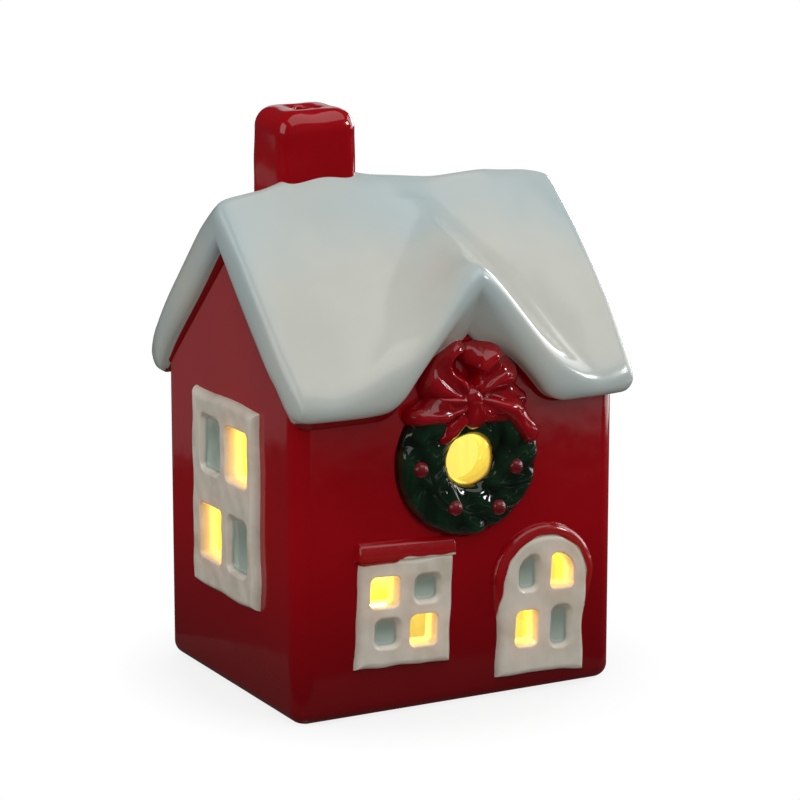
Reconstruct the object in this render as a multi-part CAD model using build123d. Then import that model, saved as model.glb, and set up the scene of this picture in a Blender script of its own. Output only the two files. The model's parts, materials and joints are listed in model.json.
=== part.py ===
from build123d import *
import os
from math import asin, atan2, cos, hypot, pi, radians, sin, sqrt

# Ceramic Christmas village house that stands over a battery tealight.
# Millimetres, +Z up. The front faces -Y, the left gable faces -X, and the origin is the middle of the foot.

# House walls
house_width = 76.6
house_depth = 63.4
wall = 4.2
wall_corner_radius = 3.8
room_corner_radius = 2.8
foot_radius = 3.0
floor_thickness = 5.0
floor_hole_radius = 1.5
eave_height = 63.4

# Snow roof, measured to the edges before they are rounded
roof_rise = 45.3
gable_overhang = 2.65
eave_overhang = 6.95
eave_face = 6.4
roof_crown = 15.2
roof_shell = 5.0
snow_radius = 2.9
snow_radius_share = 0.45

# Front gable in the roof
front_gable_x = 1.5
front_gable_rise = 33.8
front_gable_half_width = 21.5
front_gable_crown = 10.6
front_gable_flare_radius = 7.0
rim_radius = 1.8

# Chimney
chimney_x = -16.6
chimney_y = 6.4
chimney_width = 18.6
chimney_depth = 17.6
chimney_rise = 15.7
chimney_taper = 0.4
chimney_corner_radius = 4.6
chimney_lip_radius = 3.8
flue_diameter = 7.0

# Window frames, shared
frame_seat = 2.0
frame_proud = 1.8
frame_gap = 0.1
frame_edge_radius = 1.4
pane_radius = 1.2
pane_rim_radius = 0.5
blind_pane_depth = 2.4

# Clockwise lean of the hand-set front windows, in degrees
front_lean = 2.4

# Front window
front_window_x_share = -0.35
front_window_z_share = 0.3533
front_window_width = 21.8
front_window_height_share = 0.3691
front_pane_width = 6.6
front_pane_height = 6.8
front_pane_pitch_x = 9.2
front_pane_pitch_z = 9.3

# Arched window
arch_window_x_share = 0.5065
arch_window_foot = 4.2
arch_window_width = 20.8
arch_window_height = 30.8
arch_pane_width = 5.2
arch_pane_height = 8.6
arch_pane_pitch_x = 8.4
arch_pane_foot = 5.0
arch_transom = 4.6
arch_pane_margin = 4.4

# Red brows over the front windows
front_brow_rise = 3.0
arch_brow_rise = 1.9
brow_proud = 1.3
brow_radius = 0.8

# Gable windows
gable_window_y = 0.0
gable_window_z = 42.2
gable_window_width = 30.2
gable_window_height = 42.6
gable_pane_width = 10.4
gable_pane_height = 12.0
gable_pane_pitch_y = 12.8
gable_pane_pitch_z = 19.4

# Wreath
wreath_drop = 10.1
wreath_share = 0.53
wreath_hole_share = 0.339
wreath_seat = 0.8
wreath_relief = 4.6
wreath_lip = 1.6
berry_diameter = 3.4
berry_circle_share = 0.6845
berry_angles = (-11.0, -60.0, -113.0, 182.0)
berry_sink = 0.6

# Ribbon bow
bow_rise = 3.2
bow_knot_diameter = 6.4
bow_seam = 0.1
bow_relief = 5.6
bow_waist_radius = 2.4
bow_loop_reach = 6.6
bow_loop_rise = 3.4
bow_loop_radius = 4.7
bow_crest_reach = 2.9
bow_crest_rise = 9.8
bow_crest_radius = 3.5
bow_hollow_reach = 3.6
bow_hollow_rise = 4.2
bow_hollow_radius = 1.3
bow_hollow_depth = 2.8
bow_tail_reach = 11.5
bow_tail_drop = 5.0
bow_tail_radius = 3.6
bow_tip_reach = 16.0
bow_tip_drop = 10.4
bow_tip_radius = 2.4
bow_tail_relief = 6.2
bow_edge_radius = 1.8

# Tealight housing
light_diameter = 37.6
light_height = 17.0
light_wall = 1.3
light_clearance = 0.6
light_dish = 2.4
light_rim_radius = 0.5
cover_recess = 1.0
cover_thickness = 1.8
cover_gap = 0.1
light_fit = 0.1

# Flame-shaped diffuser
flame_socket_diameter = 9.6
flame_diameter = 12.4
flame_height = 20.0
flame_belly_share = 0.3
flame_hollow_share = 0.7
flame_wall = 1.4

# Light-emitting diode and board
led_diameter = 5.0
led_flange_diameter = 5.8
led_flange_height = 1.0
led_height = 8.6
led_lead = 0.5
led_lead_pitch = 2.54
lead_gap = 0.1
board_gap = 1.0
board_thickness = 1.0
resistor_length = 3.2
resistor_width = 1.6
resistor_height = 0.8
resistor_x = 8.0
resistor_y = 4.0

# Coin cell and its bay, the cell as a share of the housing's inside
cell_share = 4 / 7
cell_height = 3.2
cell_y = 2.0
cell_gap = 0.3
cell_edge_radius = 0.4
bay_wall = 1.1
contact_thickness = 0.3
contact_width = 4.0
contact_tab = 3.0
spring_gap = 1.2

# Battery door and its hinge
door_thickness = 1.2
door_gap = 0.3
hinge_length = 9.0
hinge_knuckle_diameter = 1.8
hinge_pin_diameter = 0.8
hinge_ear = 2.5
hinge_offset = 1.3
finger_notch_share = 0.25

# Slide switch
switch_inset = 4.3
switch_length = 8.6
switch_width = 4.0
switch_can_wall = 0.4
switch_travel = 2.4
knob_length = 2.6
knob_width = 1.6
knob_end_height = 0.4
knob_foot_length = 4.0
knob_foot_height = 1.4
knob_gap = 0.2

# Cover screws
screw_angle = 15.3
post_inset = 0.4
screw_diameter = 1.8
screw_head_diameter = 3.6
screw_head_height = 0.8
screw_length = 7.0
screw_gap = 0.05
post_diameter = 4.2
board_notch_gap = 0.3

# How far cutting shapes run past what they cut
margin = 1.0

# Derived levels and slopes
ridge_height = eave_height + roof_rise
front_gable_ridge = eave_height + front_gable_rise
chimney_top = ridge_height + chimney_rise
half_width = house_width / 2
half_depth = house_depth / 2
roof_half_length = half_width + gable_overhang
roof_half_span = half_depth + eave_overhang
roof_slope = (ridge_height - eave_height - eave_face) / roof_half_span
gable_apex = ridge_height - roof_crown
gable_slope = (gable_apex - eave_height) / half_depth
front_gable_slope = (front_gable_ridge - eave_height - eave_face) / front_gable_half_width
front_gable_apex = front_gable_ridge - front_gable_crown
soft_edge = min(snow_radius, snow_radius_share * eave_face)
wall_face_y = -half_depth
floor_hole_diameter = light_diameter + 2 * light_clearance

# Derived places and sizes on the front
front_window_x = front_window_x_share * half_width
front_window_z = front_window_z_share * eave_height
front_window_height = front_window_height_share * eave_height
arch_window_x = arch_window_x_share * half_width
wreath_z = eave_height - wreath_drop
wreath_diameter = wreath_share * eave_height
wreath_hole_diameter = wreath_hole_share * wreath_diameter
berry_circle_diameter = berry_circle_share * wreath_diameter
bow_z = eave_height + bow_rise

# Derived levels and sizes in the tealight
light_inner_radius = light_diameter / 2 - light_wall
cell_diameter = cell_share * 2 * light_inner_radius
board_diameter = 2 * (light_inner_radius - board_gap)
finger_notch_diameter = finger_notch_share * cell_diameter
switch_y = switch_inset - light_inner_radius
screw_circle_radius = light_inner_radius - post_diameter / 2 - post_inset
hinge_pin_length = hinge_length + 2 * hinge_ear
cover_top = cover_recess + cover_thickness
cell_bottom = cover_recess + door_thickness + cell_gap
cell_top = cell_bottom + cell_height
board_bottom = cell_top + spring_gap
board_top = board_bottom + board_thickness
dish_level = light_height - light_dish
hinge_y = cell_y + cell_diameter / 2 + cell_gap + hinge_offset
hinge_z = cover_recess + hinge_knuckle_diameter / 2
bay_radius = cell_diameter / 2 + cell_gap


def front_plane(y):
    """Sketch plane that faces -Y, with local x along +X and local y along +Z."""
    return Plane(origin=(0, y, 0), x_dir=(1, 0, 0), z_dir=(0, -1, 0))


def side_plane(x, side):
    """Sketch plane that faces +X (side 1) or -X (side -1), with local y along +Z."""
    return Plane(origin=(x, 0, 0), x_dir=(0, side, 0), z_dir=(side, 0, 0))


def polygon(*points):
    """Closed flat face through the points."""
    return make_face(Polyline(*points, close=True))


def edges_at(shape, axis, value):
    """Edges of a shape that lie in the plane where the axis has this value."""
    return shape.edges().filter_by_position(axis, value - 1e-4, value + 1e-4)


def pitched(apex, slope, reach):
    """Section under two equal slopes that fall from an apex, down past the foot."""
    low = apex - slope * reach
    return polygon((0, apex), (reach, low), (reach, -margin), (-reach, -margin), (-reach, low))


def on_slope(across, z, apex, slope):
    """Whether a point lies on one of two equal slopes that fall from an apex."""
    return abs(apex - slope * abs(across) - z) < 1e-3


def under_front_gable():
    """Space under the front gable, flared into the eaves, from in front of them back to the middle of the house."""
    reach = (front_gable_apex - eave_height) / front_gable_slope
    foot = reach + front_gable_flare_radius
    section = polygon((0, front_gable_apex), (reach, eave_height), (foot, eave_height), (foot, -margin),
                      (-foot, -margin), (-foot, eave_height), (-reach, eave_height))
    corners = [corner for corner in section.vertices() if abs(abs(corner.X) - reach) < 1e-4]
    section = Pos(front_gable_x, 0) * fillet(corners, front_gable_flare_radius)
    return extrude(front_plane(0) * section, roof_half_span + margin)


def under_roof(reach):
    """Space under the roof: the main loft, out to a reach each way, and the front gable."""
    loft = extrude(side_plane(0, 1) * pitched(gable_apex, gable_slope, reach), roof_half_length + margin, both=True)
    return loft + under_front_gable()


# Windows

def window_place(y, z, side):
    """Seat plane of a window: side 0 is the front wall, -1 the left gable and 1 the right gable."""
    if side == 0:
        return front_plane(wall_face_y + frame_seat) * Pos(y, z) * Rot(0, 0, -front_lean)
    return side_plane(side * (half_width - frame_seat), side) * Pos(side * y, z)


def pane_grid(width, height, pitch_x, pitch_z):
    """Four panes, in the order top left, top right, bottom left, bottom right."""
    places = [(sx * pitch_x / 2, sz * pitch_z / 2) for sz in (1, -1) for sx in (-1, 1)]
    return [Pos(x, z) * RectangleRounded(width, height, pane_radius) for x, z in places]


def square_window(width, height, panes):
    """Outline, lit panes and blind panes of a four-pane window, lit at top left and bottom right."""
    return RectangleRounded(width, height, frame_edge_radius), [panes[0], panes[3]], [panes[1], panes[2]]


def arch_outline(width, height):
    """Upright window outline with a half-round head, standing on its local origin."""
    spring = height - width / 2
    straight = Pos(0, spring / 2) * Rectangle(width, spring)
    return straight + Pos(0, spring) * Circle(width / 2)


def arched_window():
    """Outline, lit panes and blind panes of the arched window, lit at top right and bottom left."""
    inner = arch_outline(arch_window_width - 2 * arch_pane_margin, arch_window_height - arch_pane_margin)
    low_z = arch_pane_foot + arch_pane_height / 2
    head = arch_pane_foot + arch_pane_height + arch_transom
    bar = arch_pane_pitch_x - arch_pane_width
    low = [Pos(s * arch_pane_pitch_x / 2, low_z) * RectangleRounded(arch_pane_width, arch_pane_height, pane_radius)
           for s in (-1, 1)]
    high = []
    for s in (-1, 1):
        half = Pos(s * (bar + arch_window_width) / 2, head + arch_window_height / 2)
        high.append(inner & half * Rectangle(arch_window_width, arch_window_height))
    return arch_outline(arch_window_width, arch_window_height), [low[0], high[1]], [low[1], high[0]]


def window_frame(window, place):
    """Frame that fills its seat in the wall and stands proud of it, with open and blind panes."""
    outline, lit, blind = window
    thickness = frame_seat + frame_proud
    frame = extrude(offset(outline, -frame_gap), thickness)
    frame = fillet(edges_at(frame, Axis.Z, thickness), frame_edge_radius)
    for pane in lit:
        frame -= extrude(pane, thickness)
    for pane in blind:
        frame -= Pos(0, 0, thickness - blind_pane_depth) * extrude(pane, blind_pane_depth)
    rims = [edge for edge in edges_at(frame, Axis.Z, thickness)]
    return place * fillet(rims, pane_rim_radius)


def window_opening(window, place):
    """What a window takes out of the wall: its seat, and a hole behind each lit pane."""
    outline, lit, _ = window
    cut = extrude(outline, frame_seat + margin)
    for pane in lit:
        cut += Pos(0, 0, -wall) * extrude(pane, wall + margin)
    return place * cut


def windows():
    """Each window's node name, its sketches and its place."""
    front = square_window(front_window_width, front_window_height,
                          pane_grid(front_pane_width, front_pane_height, front_pane_pitch_x, front_pane_pitch_z))
    panes = pane_grid(gable_pane_width, gable_pane_height, gable_pane_pitch_y, gable_pane_pitch_z)
    outline, ends, middles = square_window(gable_window_width, gable_window_height, panes)
    gable = (outline, middles, ends)
    return {
        "front_window_frame": (front, window_place(front_window_x, front_window_z, 0)),
        "arched_window_frame": (arched_window(), window_place(arch_window_x, arch_window_foot, 0)),
        "left_gable_window_frame": (gable, window_place(gable_window_y, gable_window_z, -1)),
        "right_gable_window_frame": (gable, window_place(gable_window_y, gable_window_z, 1)),
    }


def brows():
    """Rounded brows of the front wall: a ledge over the square window and a band round the arched window's head."""
    frames = windows()
    reach = frame_seat + brow_proud
    ledge = Pos(0, (front_window_height + front_brow_rise) / 2) * Rectangle(front_window_width, front_brow_rise)
    spring = arch_window_height - arch_window_width / 2
    band = Circle(arch_window_width / 2 + arch_brow_rise) - Circle(arch_window_width / 2)
    band &= Pos(0, arch_window_width / 2) * Rectangle(2 * arch_window_width, arch_window_width)
    sketches = {"front_window_frame": ledge, "arched_window_frame": Pos(0, spring) * band}
    solids = []
    for name, sketch in sketches.items():
        brow = extrude(sketch, reach)
        solids.append(frames[name][1] * fillet(edges_at(brow, Axis.Z, reach), brow_radius))
    return solids


# House

def house_body():
    """Walls and floor in one hollow casting: gable ends, brows, window seats and the tealight's opening."""
    block = extrude(RectangleRounded(house_width, house_depth, wall_corner_radius), gable_apex)
    block = fillet(edges_at(block, Axis.Z, 0), foot_radius)
    block &= under_roof(half_depth + margin)
    room = RectangleRounded(house_width - 2 * wall, house_depth - 2 * wall, room_corner_radius)
    body = block - Pos(0, 0, floor_thickness) * extrude(room, gable_apex)
    body -= extrude(Circle(floor_hole_diameter / 2), floor_thickness)
    rim = [edge for edge in body.edges().filter_by(GeomType.CIRCLE)
           if abs(edge.radius - floor_hole_diameter / 2) < 1e-4]
    body = fillet(rim, floor_hole_radius)
    for brow in brows():
        body += brow
    for window, place in windows().values():
        body -= window_opening(window, place)
    seat = front_plane(wall_face_y + wreath_seat) * Pos(front_gable_x, wreath_z)
    body -= extrude(seat * Circle(wreath_diameter / 2 + frame_gap), wreath_seat + margin)
    body -= extrude(seat * Circle(wreath_hole_diameter / 2), wall, both=True)
    return body


def snow_mass():
    """Outside of the snow roof with every edge rounded, before it is hollowed: main ridge and front gable."""
    tip = eave_height + eave_face
    main = polygon((0, ridge_height), (roof_half_span, tip), (roof_half_span, eave_height),
                   (-roof_half_span, eave_height), (-roof_half_span, tip))
    main = extrude(side_plane(0, 1) * main, roof_half_length, both=True)
    main = fillet(main.edges(), soft_edge)
    gable = polygon((front_gable_x, front_gable_ridge), (front_gable_x + front_gable_half_width, tip),
                    (front_gable_x + front_gable_half_width, eave_height),
                    (front_gable_x - front_gable_half_width, eave_height),
                    (front_gable_x - front_gable_half_width, tip))
    gable = extrude(front_plane(0) * gable, roof_half_span)
    back = edges_at(gable, Axis.Y, 0)
    gable = fillet([edge for edge in gable.edges() if edge not in back], soft_edge)
    return main + gable


def flue_bore():
    """Straight vent down the chimney and through the roof."""
    return Pos(chimney_x, chimney_y, eave_height) * extrude(Circle(flue_diameter / 2), chimney_top)


def roof():
    """Snow roof with a front gable, seated on the walls' sloping tops and hollow over the room."""
    shell_drop = roof_shell * sqrt(1 + roof_slope ** 2)
    loft = extrude(side_plane(0, 1) * pitched(ridge_height - shell_drop, roof_slope, roof_half_span),
                   roof_half_length, both=True)
    room = extrude(RectangleRounded(house_width - 2 * wall, house_depth - 2 * wall, room_corner_radius),
                   ridge_height)
    snow = snow_mass() - under_roof(half_depth) - (loft & room) - flue_bore()
    rims = [edge for side in (-1, 1) for edge in edges_at(snow, Axis.X, side * roof_half_length)
            if on_slope(edge.center().Y, edge.center().Z, gable_apex, gable_slope)]
    rims += [edge for edge in edges_at(snow, Axis.Y, -roof_half_span)
             if on_slope(edge.center().X - front_gable_x, edge.center().Z, front_gable_apex, front_gable_slope)]
    return fillet(rims, rim_radius)


def chimney():
    """Tapered chimney with a scribed foot that sits on the ridge and the back slope."""
    foot = gable_apex - eave_face
    plan = RectangleRounded(chimney_width, chimney_depth, chimney_corner_radius)
    top = RectangleRounded(chimney_width - chimney_taper, chimney_depth - chimney_taper, chimney_corner_radius)
    stack = loft([Pos(0, 0, foot) * plan, Pos(0, 0, chimney_top) * top])
    stack = fillet(edges_at(stack, Axis.Z, chimney_top), chimney_lip_radius)
    return Pos(chimney_x, chimney_y, 0) * stack - snow_mass() - flue_bore()


# Wreath and bow

def wreath_plane():
    """Plane through the wreath's axis, with local x down from the axis and local y towards the front."""
    return Plane(origin=(front_gable_x, wall_face_y + wreath_seat, wreath_z), x_dir=(0, 0, -1), z_dir=(-1, 0, 0))


def wreath():
    """Rounded ring on a round seat in the front wall."""
    inner = wreath_hole_diameter / 2
    outer = wreath_diameter / 2
    lip = wreath_seat + wreath_lip
    crown = ((inner + outer) / 2, wreath_seat + wreath_relief)
    section = make_face([Line((inner, 0), (inner, lip)), ThreePointArc((inner, lip), crown, (outer, wreath_seat)),
                         Line((outer, wreath_seat), (outer, 0)), Line((outer, 0), (inner, 0))])
    plane = wreath_plane()
    return revolve(plane * section, Axis(plane.origin, plane.y_dir))


def berries(ring):
    """Round berries set into the wreath."""
    crown = wall_face_y - wreath_relief
    balls = []
    for angle in berry_angles:
        centre = Vector(berry_circle_diameter / 2, 0).rotate(Axis.Z, angle)
        ball = Sphere(berry_diameter / 2)
        balls.append(Pos(front_gable_x + centre.X, crown + berry_sink, wreath_z + centre.Y) * ball - ring)
    return balls


def tangent_angle(start, end):
    """Direction, from both centres, of the line that touches two circles on their right, in radians."""
    run = end[0] - start[0]
    rise = end[1] - start[1]
    return atan2(rise, run) - pi / 2 + asin((start[2] - end[2]) / hypot(run, rise))


def on_circle(circle, angle):
    """Point of a circle, given as x, z and radius, in this direction."""
    return circle[0] + circle[2] * cos(angle), circle[1] + circle[2] * sin(angle)


def bow_outline(*circles):
    """Outline drawn tight round circles, which are given anticlockwise as x and z from the knot, and a radius."""
    count = len(circles)
    angles = [tangent_angle(circles[i], circles[(i + 1) % count]) for i in range(count)]
    edges = []
    for i, circle in enumerate(circles):
        arrive = angles[i - 1]
        turn = (angles[i] - arrive) % (2 * pi)
        leave = on_circle(circle, angles[i])
        edges.append(ThreePointArc(on_circle(circle, arrive), on_circle(circle, arrive + turn / 2), leave))
        edges.append(Line(leave, on_circle(circles[(i + 1) % count], angles[i])))
    return Pos(front_gable_x, bow_z) * make_face(edges)


def bow_lobe(outline, relief):
    """Soft ribbon lobe with its front edges rounded, which still runs back into the wall."""
    lobe = extrude(front_plane(wall_face_y + wall) * outline, wall + relief, dir=(0, -1, 0))
    return fillet(edges_at(lobe, Axis.Y, wall_face_y - relief), bow_edge_radius)


def bow_loop():
    """Right loop of the bow, which fills its half of the front gable and is hollow beside the knot."""
    loop = bow_lobe(bow_outline((0, 0, bow_waist_radius), (bow_loop_reach, bow_loop_rise, bow_loop_radius),
                                (bow_crest_reach, bow_crest_rise, bow_crest_radius)), bow_relief)
    hollow = bow_outline((0, 0, bow_hollow_radius / 2), (bow_hollow_reach, bow_hollow_rise, bow_hollow_radius))
    front = front_plane(wall_face_y - bow_relief + bow_hollow_depth)
    return loop - extrude(front * hollow, bow_hollow_depth, dir=(0, -1, 0))


def bow_tail():
    """Right tail of the bow, which hangs down over the wreath."""
    return bow_lobe(bow_outline((0, 0, bow_waist_radius), (bow_tip_reach, -bow_tip_drop, bow_tip_radius),
                                (bow_tail_reach, -bow_tail_drop, bow_tail_radius)), bow_tail_relief)


def bow_space(side):
    """Space in front of the wall that the whole bow (side 0) or its right half (side 1) takes up."""
    reach = bow_tip_reach + bow_tip_radius
    across = Align.MIN if side else Align.CENTER
    block = Box(reach if side else 2 * reach, 2 * bow_tail_relief, 2 * (bow_crest_rise + bow_loop_radius),
                align=(across, Align.MAX, Align.CENTER))
    return Pos(front_gable_x + side * bow_seam / 2, wall_face_y, bow_z) * block


def bow(ring):
    """Ribbon bow over the wreath: knot, pair of loops and pair of tails."""
    knot = bow_lobe(Pos(front_gable_x, bow_z) * Circle(bow_knot_diameter / 2), bow_tail_relief)
    knot = (knot - ring) & bow_space(0)
    loop = ((bow_loop() - ring) & bow_space(1)) - knot
    tail = ((bow_tail() - ring) & bow_space(1)) - knot - loop
    middle = Plane(origin=(front_gable_x, 0, 0), z_dir=(1, 0, 0))
    return knot, (mirror(loop, middle), loop), (mirror(tail, middle), tail)


# Tealight

def screw_places():
    """The two screw positions, left and right."""
    angle = radians(screw_angle)
    return [Pos(side * screw_circle_radius * cos(angle), -screw_circle_radius * sin(angle)) for side in (-1, 1)]


def light_housing():
    """Drum with a dished top, a socket for the flame and two screw posts inside."""
    radius = light_diameter / 2
    section = polygon((0, 0), (radius, 0), (radius, light_height), (0, light_height))
    drum = revolve(Plane.XZ * section, Axis.Z)
    drum = fillet(edges_at(drum, Axis.Z, light_height), light_rim_radius)
    dish_radius = radius - light_wall
    dish = Pos(0, 0, dish_level) * Cone(flame_socket_diameter / 2, dish_radius, light_dish + margin,
                                        align=(Align.CENTER, Align.CENTER, Align.MIN))
    hollow = extrude(Circle(light_inner_radius), dish_level - light_wall)
    drum = drum - dish - hollow
    drum -= extrude(Circle(flame_socket_diameter / 2), light_height)
    for place in screw_places():
        post = Pos(0, 0, cover_top) * extrude(Circle(post_diameter / 2), dish_level - cover_top)
        pilot = extrude(Circle(screw_diameter / 2 + screw_gap), cover_recess + screw_head_height + screw_length)
        drum = drum + place * post - place * pilot
    return drum


def flame_diffuser():
    """Hollow flame on a collar that plugs into the housing's socket."""
    collar = flame_socket_diameter / 2 - light_fit
    base = dish_level - light_wall
    belly = flame_diameter / 2
    low = dish_level
    tip = (0, low + flame_height)
    outside = make_face([Line((0, base), (collar, base)), Line((collar, base), (collar, low)),
                         Spline((collar, low), (belly, low + flame_height * flame_belly_share), tip),
                         Line(tip, (0, base))])
    inner = collar - flame_wall
    top = (0, low + flame_height * flame_hollow_share)
    inside = make_face([Line((0, base), (inner, base)), Line((inner, base), (inner, low)),
                        Spline((inner, low), (belly - flame_wall, low + flame_height * flame_belly_share), top),
                        Line(top, (0, base))])
    return revolve(Plane.XZ * outside, Axis.Z) - revolve(Plane.XZ * inside, Axis.Z)


def led():
    """Round-headed diode with a flange and two leads through the board."""
    radius = led_diameter / 2
    body = Pos(0, 0, board_top) * extrude(Circle(radius), led_height - radius)
    body += Pos(0, 0, board_top + led_height - radius) * Sphere(radius)
    body += Pos(0, 0, board_top) * extrude(Circle(led_flange_diameter / 2), led_flange_height)
    for side in (-1, 1):
        lead = Pos(side * led_lead_pitch / 2, 0, board_bottom) * extrude(Rectangle(led_lead, led_lead), board_thickness)
        body += lead
    return body


def circuit_board():
    """Round board with notches round the screw posts and holes for the diode's leads."""
    board = Circle(board_diameter / 2)
    for place in screw_places():
        board -= place * Circle(post_diameter / 2 + board_notch_gap)
    for side in (-1, 1):
        board -= Pos(side * led_lead_pitch / 2, 0) * Rectangle(led_lead + 2 * lead_gap, led_lead + 2 * lead_gap)
    return Pos(0, 0, board_bottom) * extrude(board, board_thickness)


def resistor():
    """Chip resistor on top of the board."""
    return Pos(resistor_x, resistor_y, board_top) * extrude(Rectangle(resistor_length, resistor_width), resistor_height)


def coin_cell():
    """Coin cell lying flat above the battery door."""
    cell = Pos(0, cell_y, cell_bottom) * extrude(Circle(cell_diameter / 2), cell_height)
    return fillet(edges_at(cell, Axis.Z, cell_bottom), cell_edge_radius)


def contact_slot():
    """Upright slot in the bay wall for the positive contact."""
    depth = cell_diameter / 2 + contact_thickness + cell_gap
    return Pos(depth / 2, cell_y) * Rectangle(depth, contact_width + 2 * cell_gap)


def positive_contact():
    """Strip that stands against the cell's rim and turns in under the board."""
    rim = cell_diameter / 2
    path = [(rim, cell_bottom + cell_edge_radius), (rim + contact_thickness, cell_bottom + cell_edge_radius),
            (rim + contact_thickness, board_bottom), (rim - contact_tab, board_bottom),
            (rim - contact_tab, board_bottom - contact_thickness), (rim, board_bottom - contact_thickness)]
    strip = extrude(Plane.XZ * polygon(*path), contact_width / 2, both=True)
    return Pos(0, cell_y, 0) * strip


def negative_contact():
    """Bent leaf between the board's underside and the top of the cell."""
    half = contact_tab
    path = Polyline((-half, board_bottom - contact_thickness / 2), (0, board_bottom - contact_thickness / 2),
                    (half, cell_top + contact_thickness / 2), (2 * half, cell_top + contact_thickness / 2))
    leaf = extrude(Plane.XZ * trace(path, contact_thickness), contact_width / 2, both=True)
    return Pos(-half, cell_y, 0) * leaf


def switch_slot_length():
    """Slot in the cover that the knob travels along."""
    return knob_length + switch_travel + 2 * knob_gap


def base_cover():
    """Round cover with the cell's bay, the door opening, the hinge's ears, the switch slot and screw seats."""
    disc = extrude(Circle(light_inner_radius - cover_gap), cover_thickness)
    bay = extrude(Circle(bay_radius + bay_wall), board_bottom - cover_recess)
    cover = disc + Pos(0, cell_y) * bay
    cover -= Pos(0, cell_y) * extrude(Circle(bay_radius), board_bottom)
    cover -= Pos(0, cell_y - bay_radius) * extrude(Circle(finger_notch_diameter / 2), door_thickness)
    cover -= Pos(0, 0, cover_thickness) * extrude(contact_slot(), board_bottom)
    gap = hinge_knuckle_diameter / 2 + door_gap
    well = Pos(0, hinge_y - hinge_offset / 2) * Rectangle(hinge_length, 2 * gap + hinge_offset)
    cover -= extrude(well, cover_thickness + 2 * door_gap)
    pin = Pos(0, hinge_y, hinge_z - cover_recess) * Rot(0, 90, 0) * Cylinder(hinge_pin_diameter / 2, hinge_pin_length)
    cover -= pin
    slot = Rectangle(switch_slot_length(), knob_width + 2 * knob_gap)
    cover -= Pos(0, switch_y) * extrude(slot, cover_thickness)
    for place in screw_places():
        cover -= place * extrude(Circle(screw_diameter / 2 + screw_gap), cover_thickness)
        cover -= place * extrude(Circle(screw_head_diameter / 2 + screw_gap), screw_head_height)
    return Pos(0, 0, cover_recess) * cover


def battery_door():
    """Round flap with a hinge knuckle along its back edge."""
    flap = Circle(bay_radius - door_gap)
    neck_back = hinge_y - cell_y
    flap += Pos(0, neck_back / 2) * Rectangle(hinge_length - 2 * door_gap, neck_back)
    door = Pos(0, cell_y, cover_recess) * extrude(flap, door_thickness)
    knuckle = Pos(0, hinge_y, hinge_z) * Rot(0, 90, 0) * Cylinder(hinge_knuckle_diameter / 2,
                                                                 hinge_length - 2 * door_gap)
    bore = Pos(0, hinge_y, hinge_z) * Rot(0, 90, 0) * Cylinder(hinge_pin_diameter / 2 + lead_gap, hinge_length)
    return door + knuckle - bore


def hinge_pin():
    """Steel pin through the cover's ears and the door's knuckle."""
    return Pos(0, hinge_y, hinge_z) * Rot(0, 90, 0) * Cylinder(hinge_pin_diameter / 2, hinge_pin_length)


def switch_body():
    """Metal can of the slide switch, open below, between the cover and the board."""
    can = Pos(0, switch_y, cover_top) * extrude(Rectangle(switch_length, switch_width), board_bottom - cover_top)
    room = Rectangle(switch_length - 2 * switch_can_wall, switch_width - 2 * switch_can_wall)
    return can - Pos(0, switch_y, cover_top) * extrude(room, board_bottom - cover_top - switch_can_wall)


def switch_slider():
    """Knob of the slide switch, shown switched on, with a wider foot inside the can."""
    x = -switch_travel / 2
    knob = Pos(x, switch_y, knob_end_height) * extrude(Rectangle(knob_length, knob_width),
                                                       cover_top + knob_gap - knob_end_height)
    inside = switch_width - 2 * switch_can_wall - 2 * knob_gap
    foot = Pos(x, switch_y, cover_top + knob_gap) * extrude(Rectangle(knob_foot_length, inside), knob_foot_height)
    return knob + foot


def cover_screws():
    """Two pan-head screws that hold the cover to the housing's posts."""
    screws = []
    for place in screw_places():
        head = extrude(Circle(screw_head_diameter / 2), screw_head_height)
        shank = extrude(Circle(screw_diameter / 2), screw_head_height + screw_length)
        screws.append(place * Pos(0, 0, cover_recess) * (head + shank))
    return screws


def all_nodes():
    """Every node of the assembly, by name."""
    ring = wreath()
    knot, loops, tails = bow(ring)
    nodes = {
        "house_body": house_body(),
        "roof": roof(),
        "chimney": chimney(),
        "wreath": ring,
        "berries": berries(ring),
        "bow_knot": knot,
        "bow_left_loop": loops[0],
        "bow_right_loop": loops[1],
        "bow_left_tail": tails[0],
        "bow_right_tail": tails[1],
        "light_housing": light_housing(),
        "flame_diffuser": flame_diffuser(),
        "led": led(),
        "circuit_board": circuit_board(),
        "resistor": resistor(),
        "coin_cell": coin_cell(),
        "positive_contact": positive_contact(),
        "negative_contact": negative_contact(),
        "base_cover": base_cover(),
        "battery_door": battery_door(),
        "hinge_pin": hinge_pin(),
        "switch_body": switch_body(),
        "switch_slider": switch_slider(),
        "cover_screws": cover_screws(),
    }
    for name, (window, place) in windows().items():
        nodes[name] = window_frame(window, place)
    return nodes


def main():
    """Write one STEP file for each node."""
    os.makedirs("parts", exist_ok=True)
    for name, shape in all_nodes().items():
        solids = shape if isinstance(shape, list) else [shape]
        solids = [solid for item in solids for solid in item.solids()]
        export_step(solids[0] if len(solids) == 1 else Compound(children=solids), f"parts/{name}.step")


main()
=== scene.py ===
"""Looks of a glazed ceramic village house that stands over a battery tealight.

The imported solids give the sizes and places. The soft forms (snow roof, chimney, window frames, wreath, berries and
ribbon bow) are shaped here by formulas on grids, in millimetres, and turned into metres when their meshes are made.
+Z is up, the front faces -Y and the left gable faces -X.
"""
from __future__ import annotations

import json
import logging
import math
from dataclasses import dataclass
from enum import Enum, IntEnum

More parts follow.
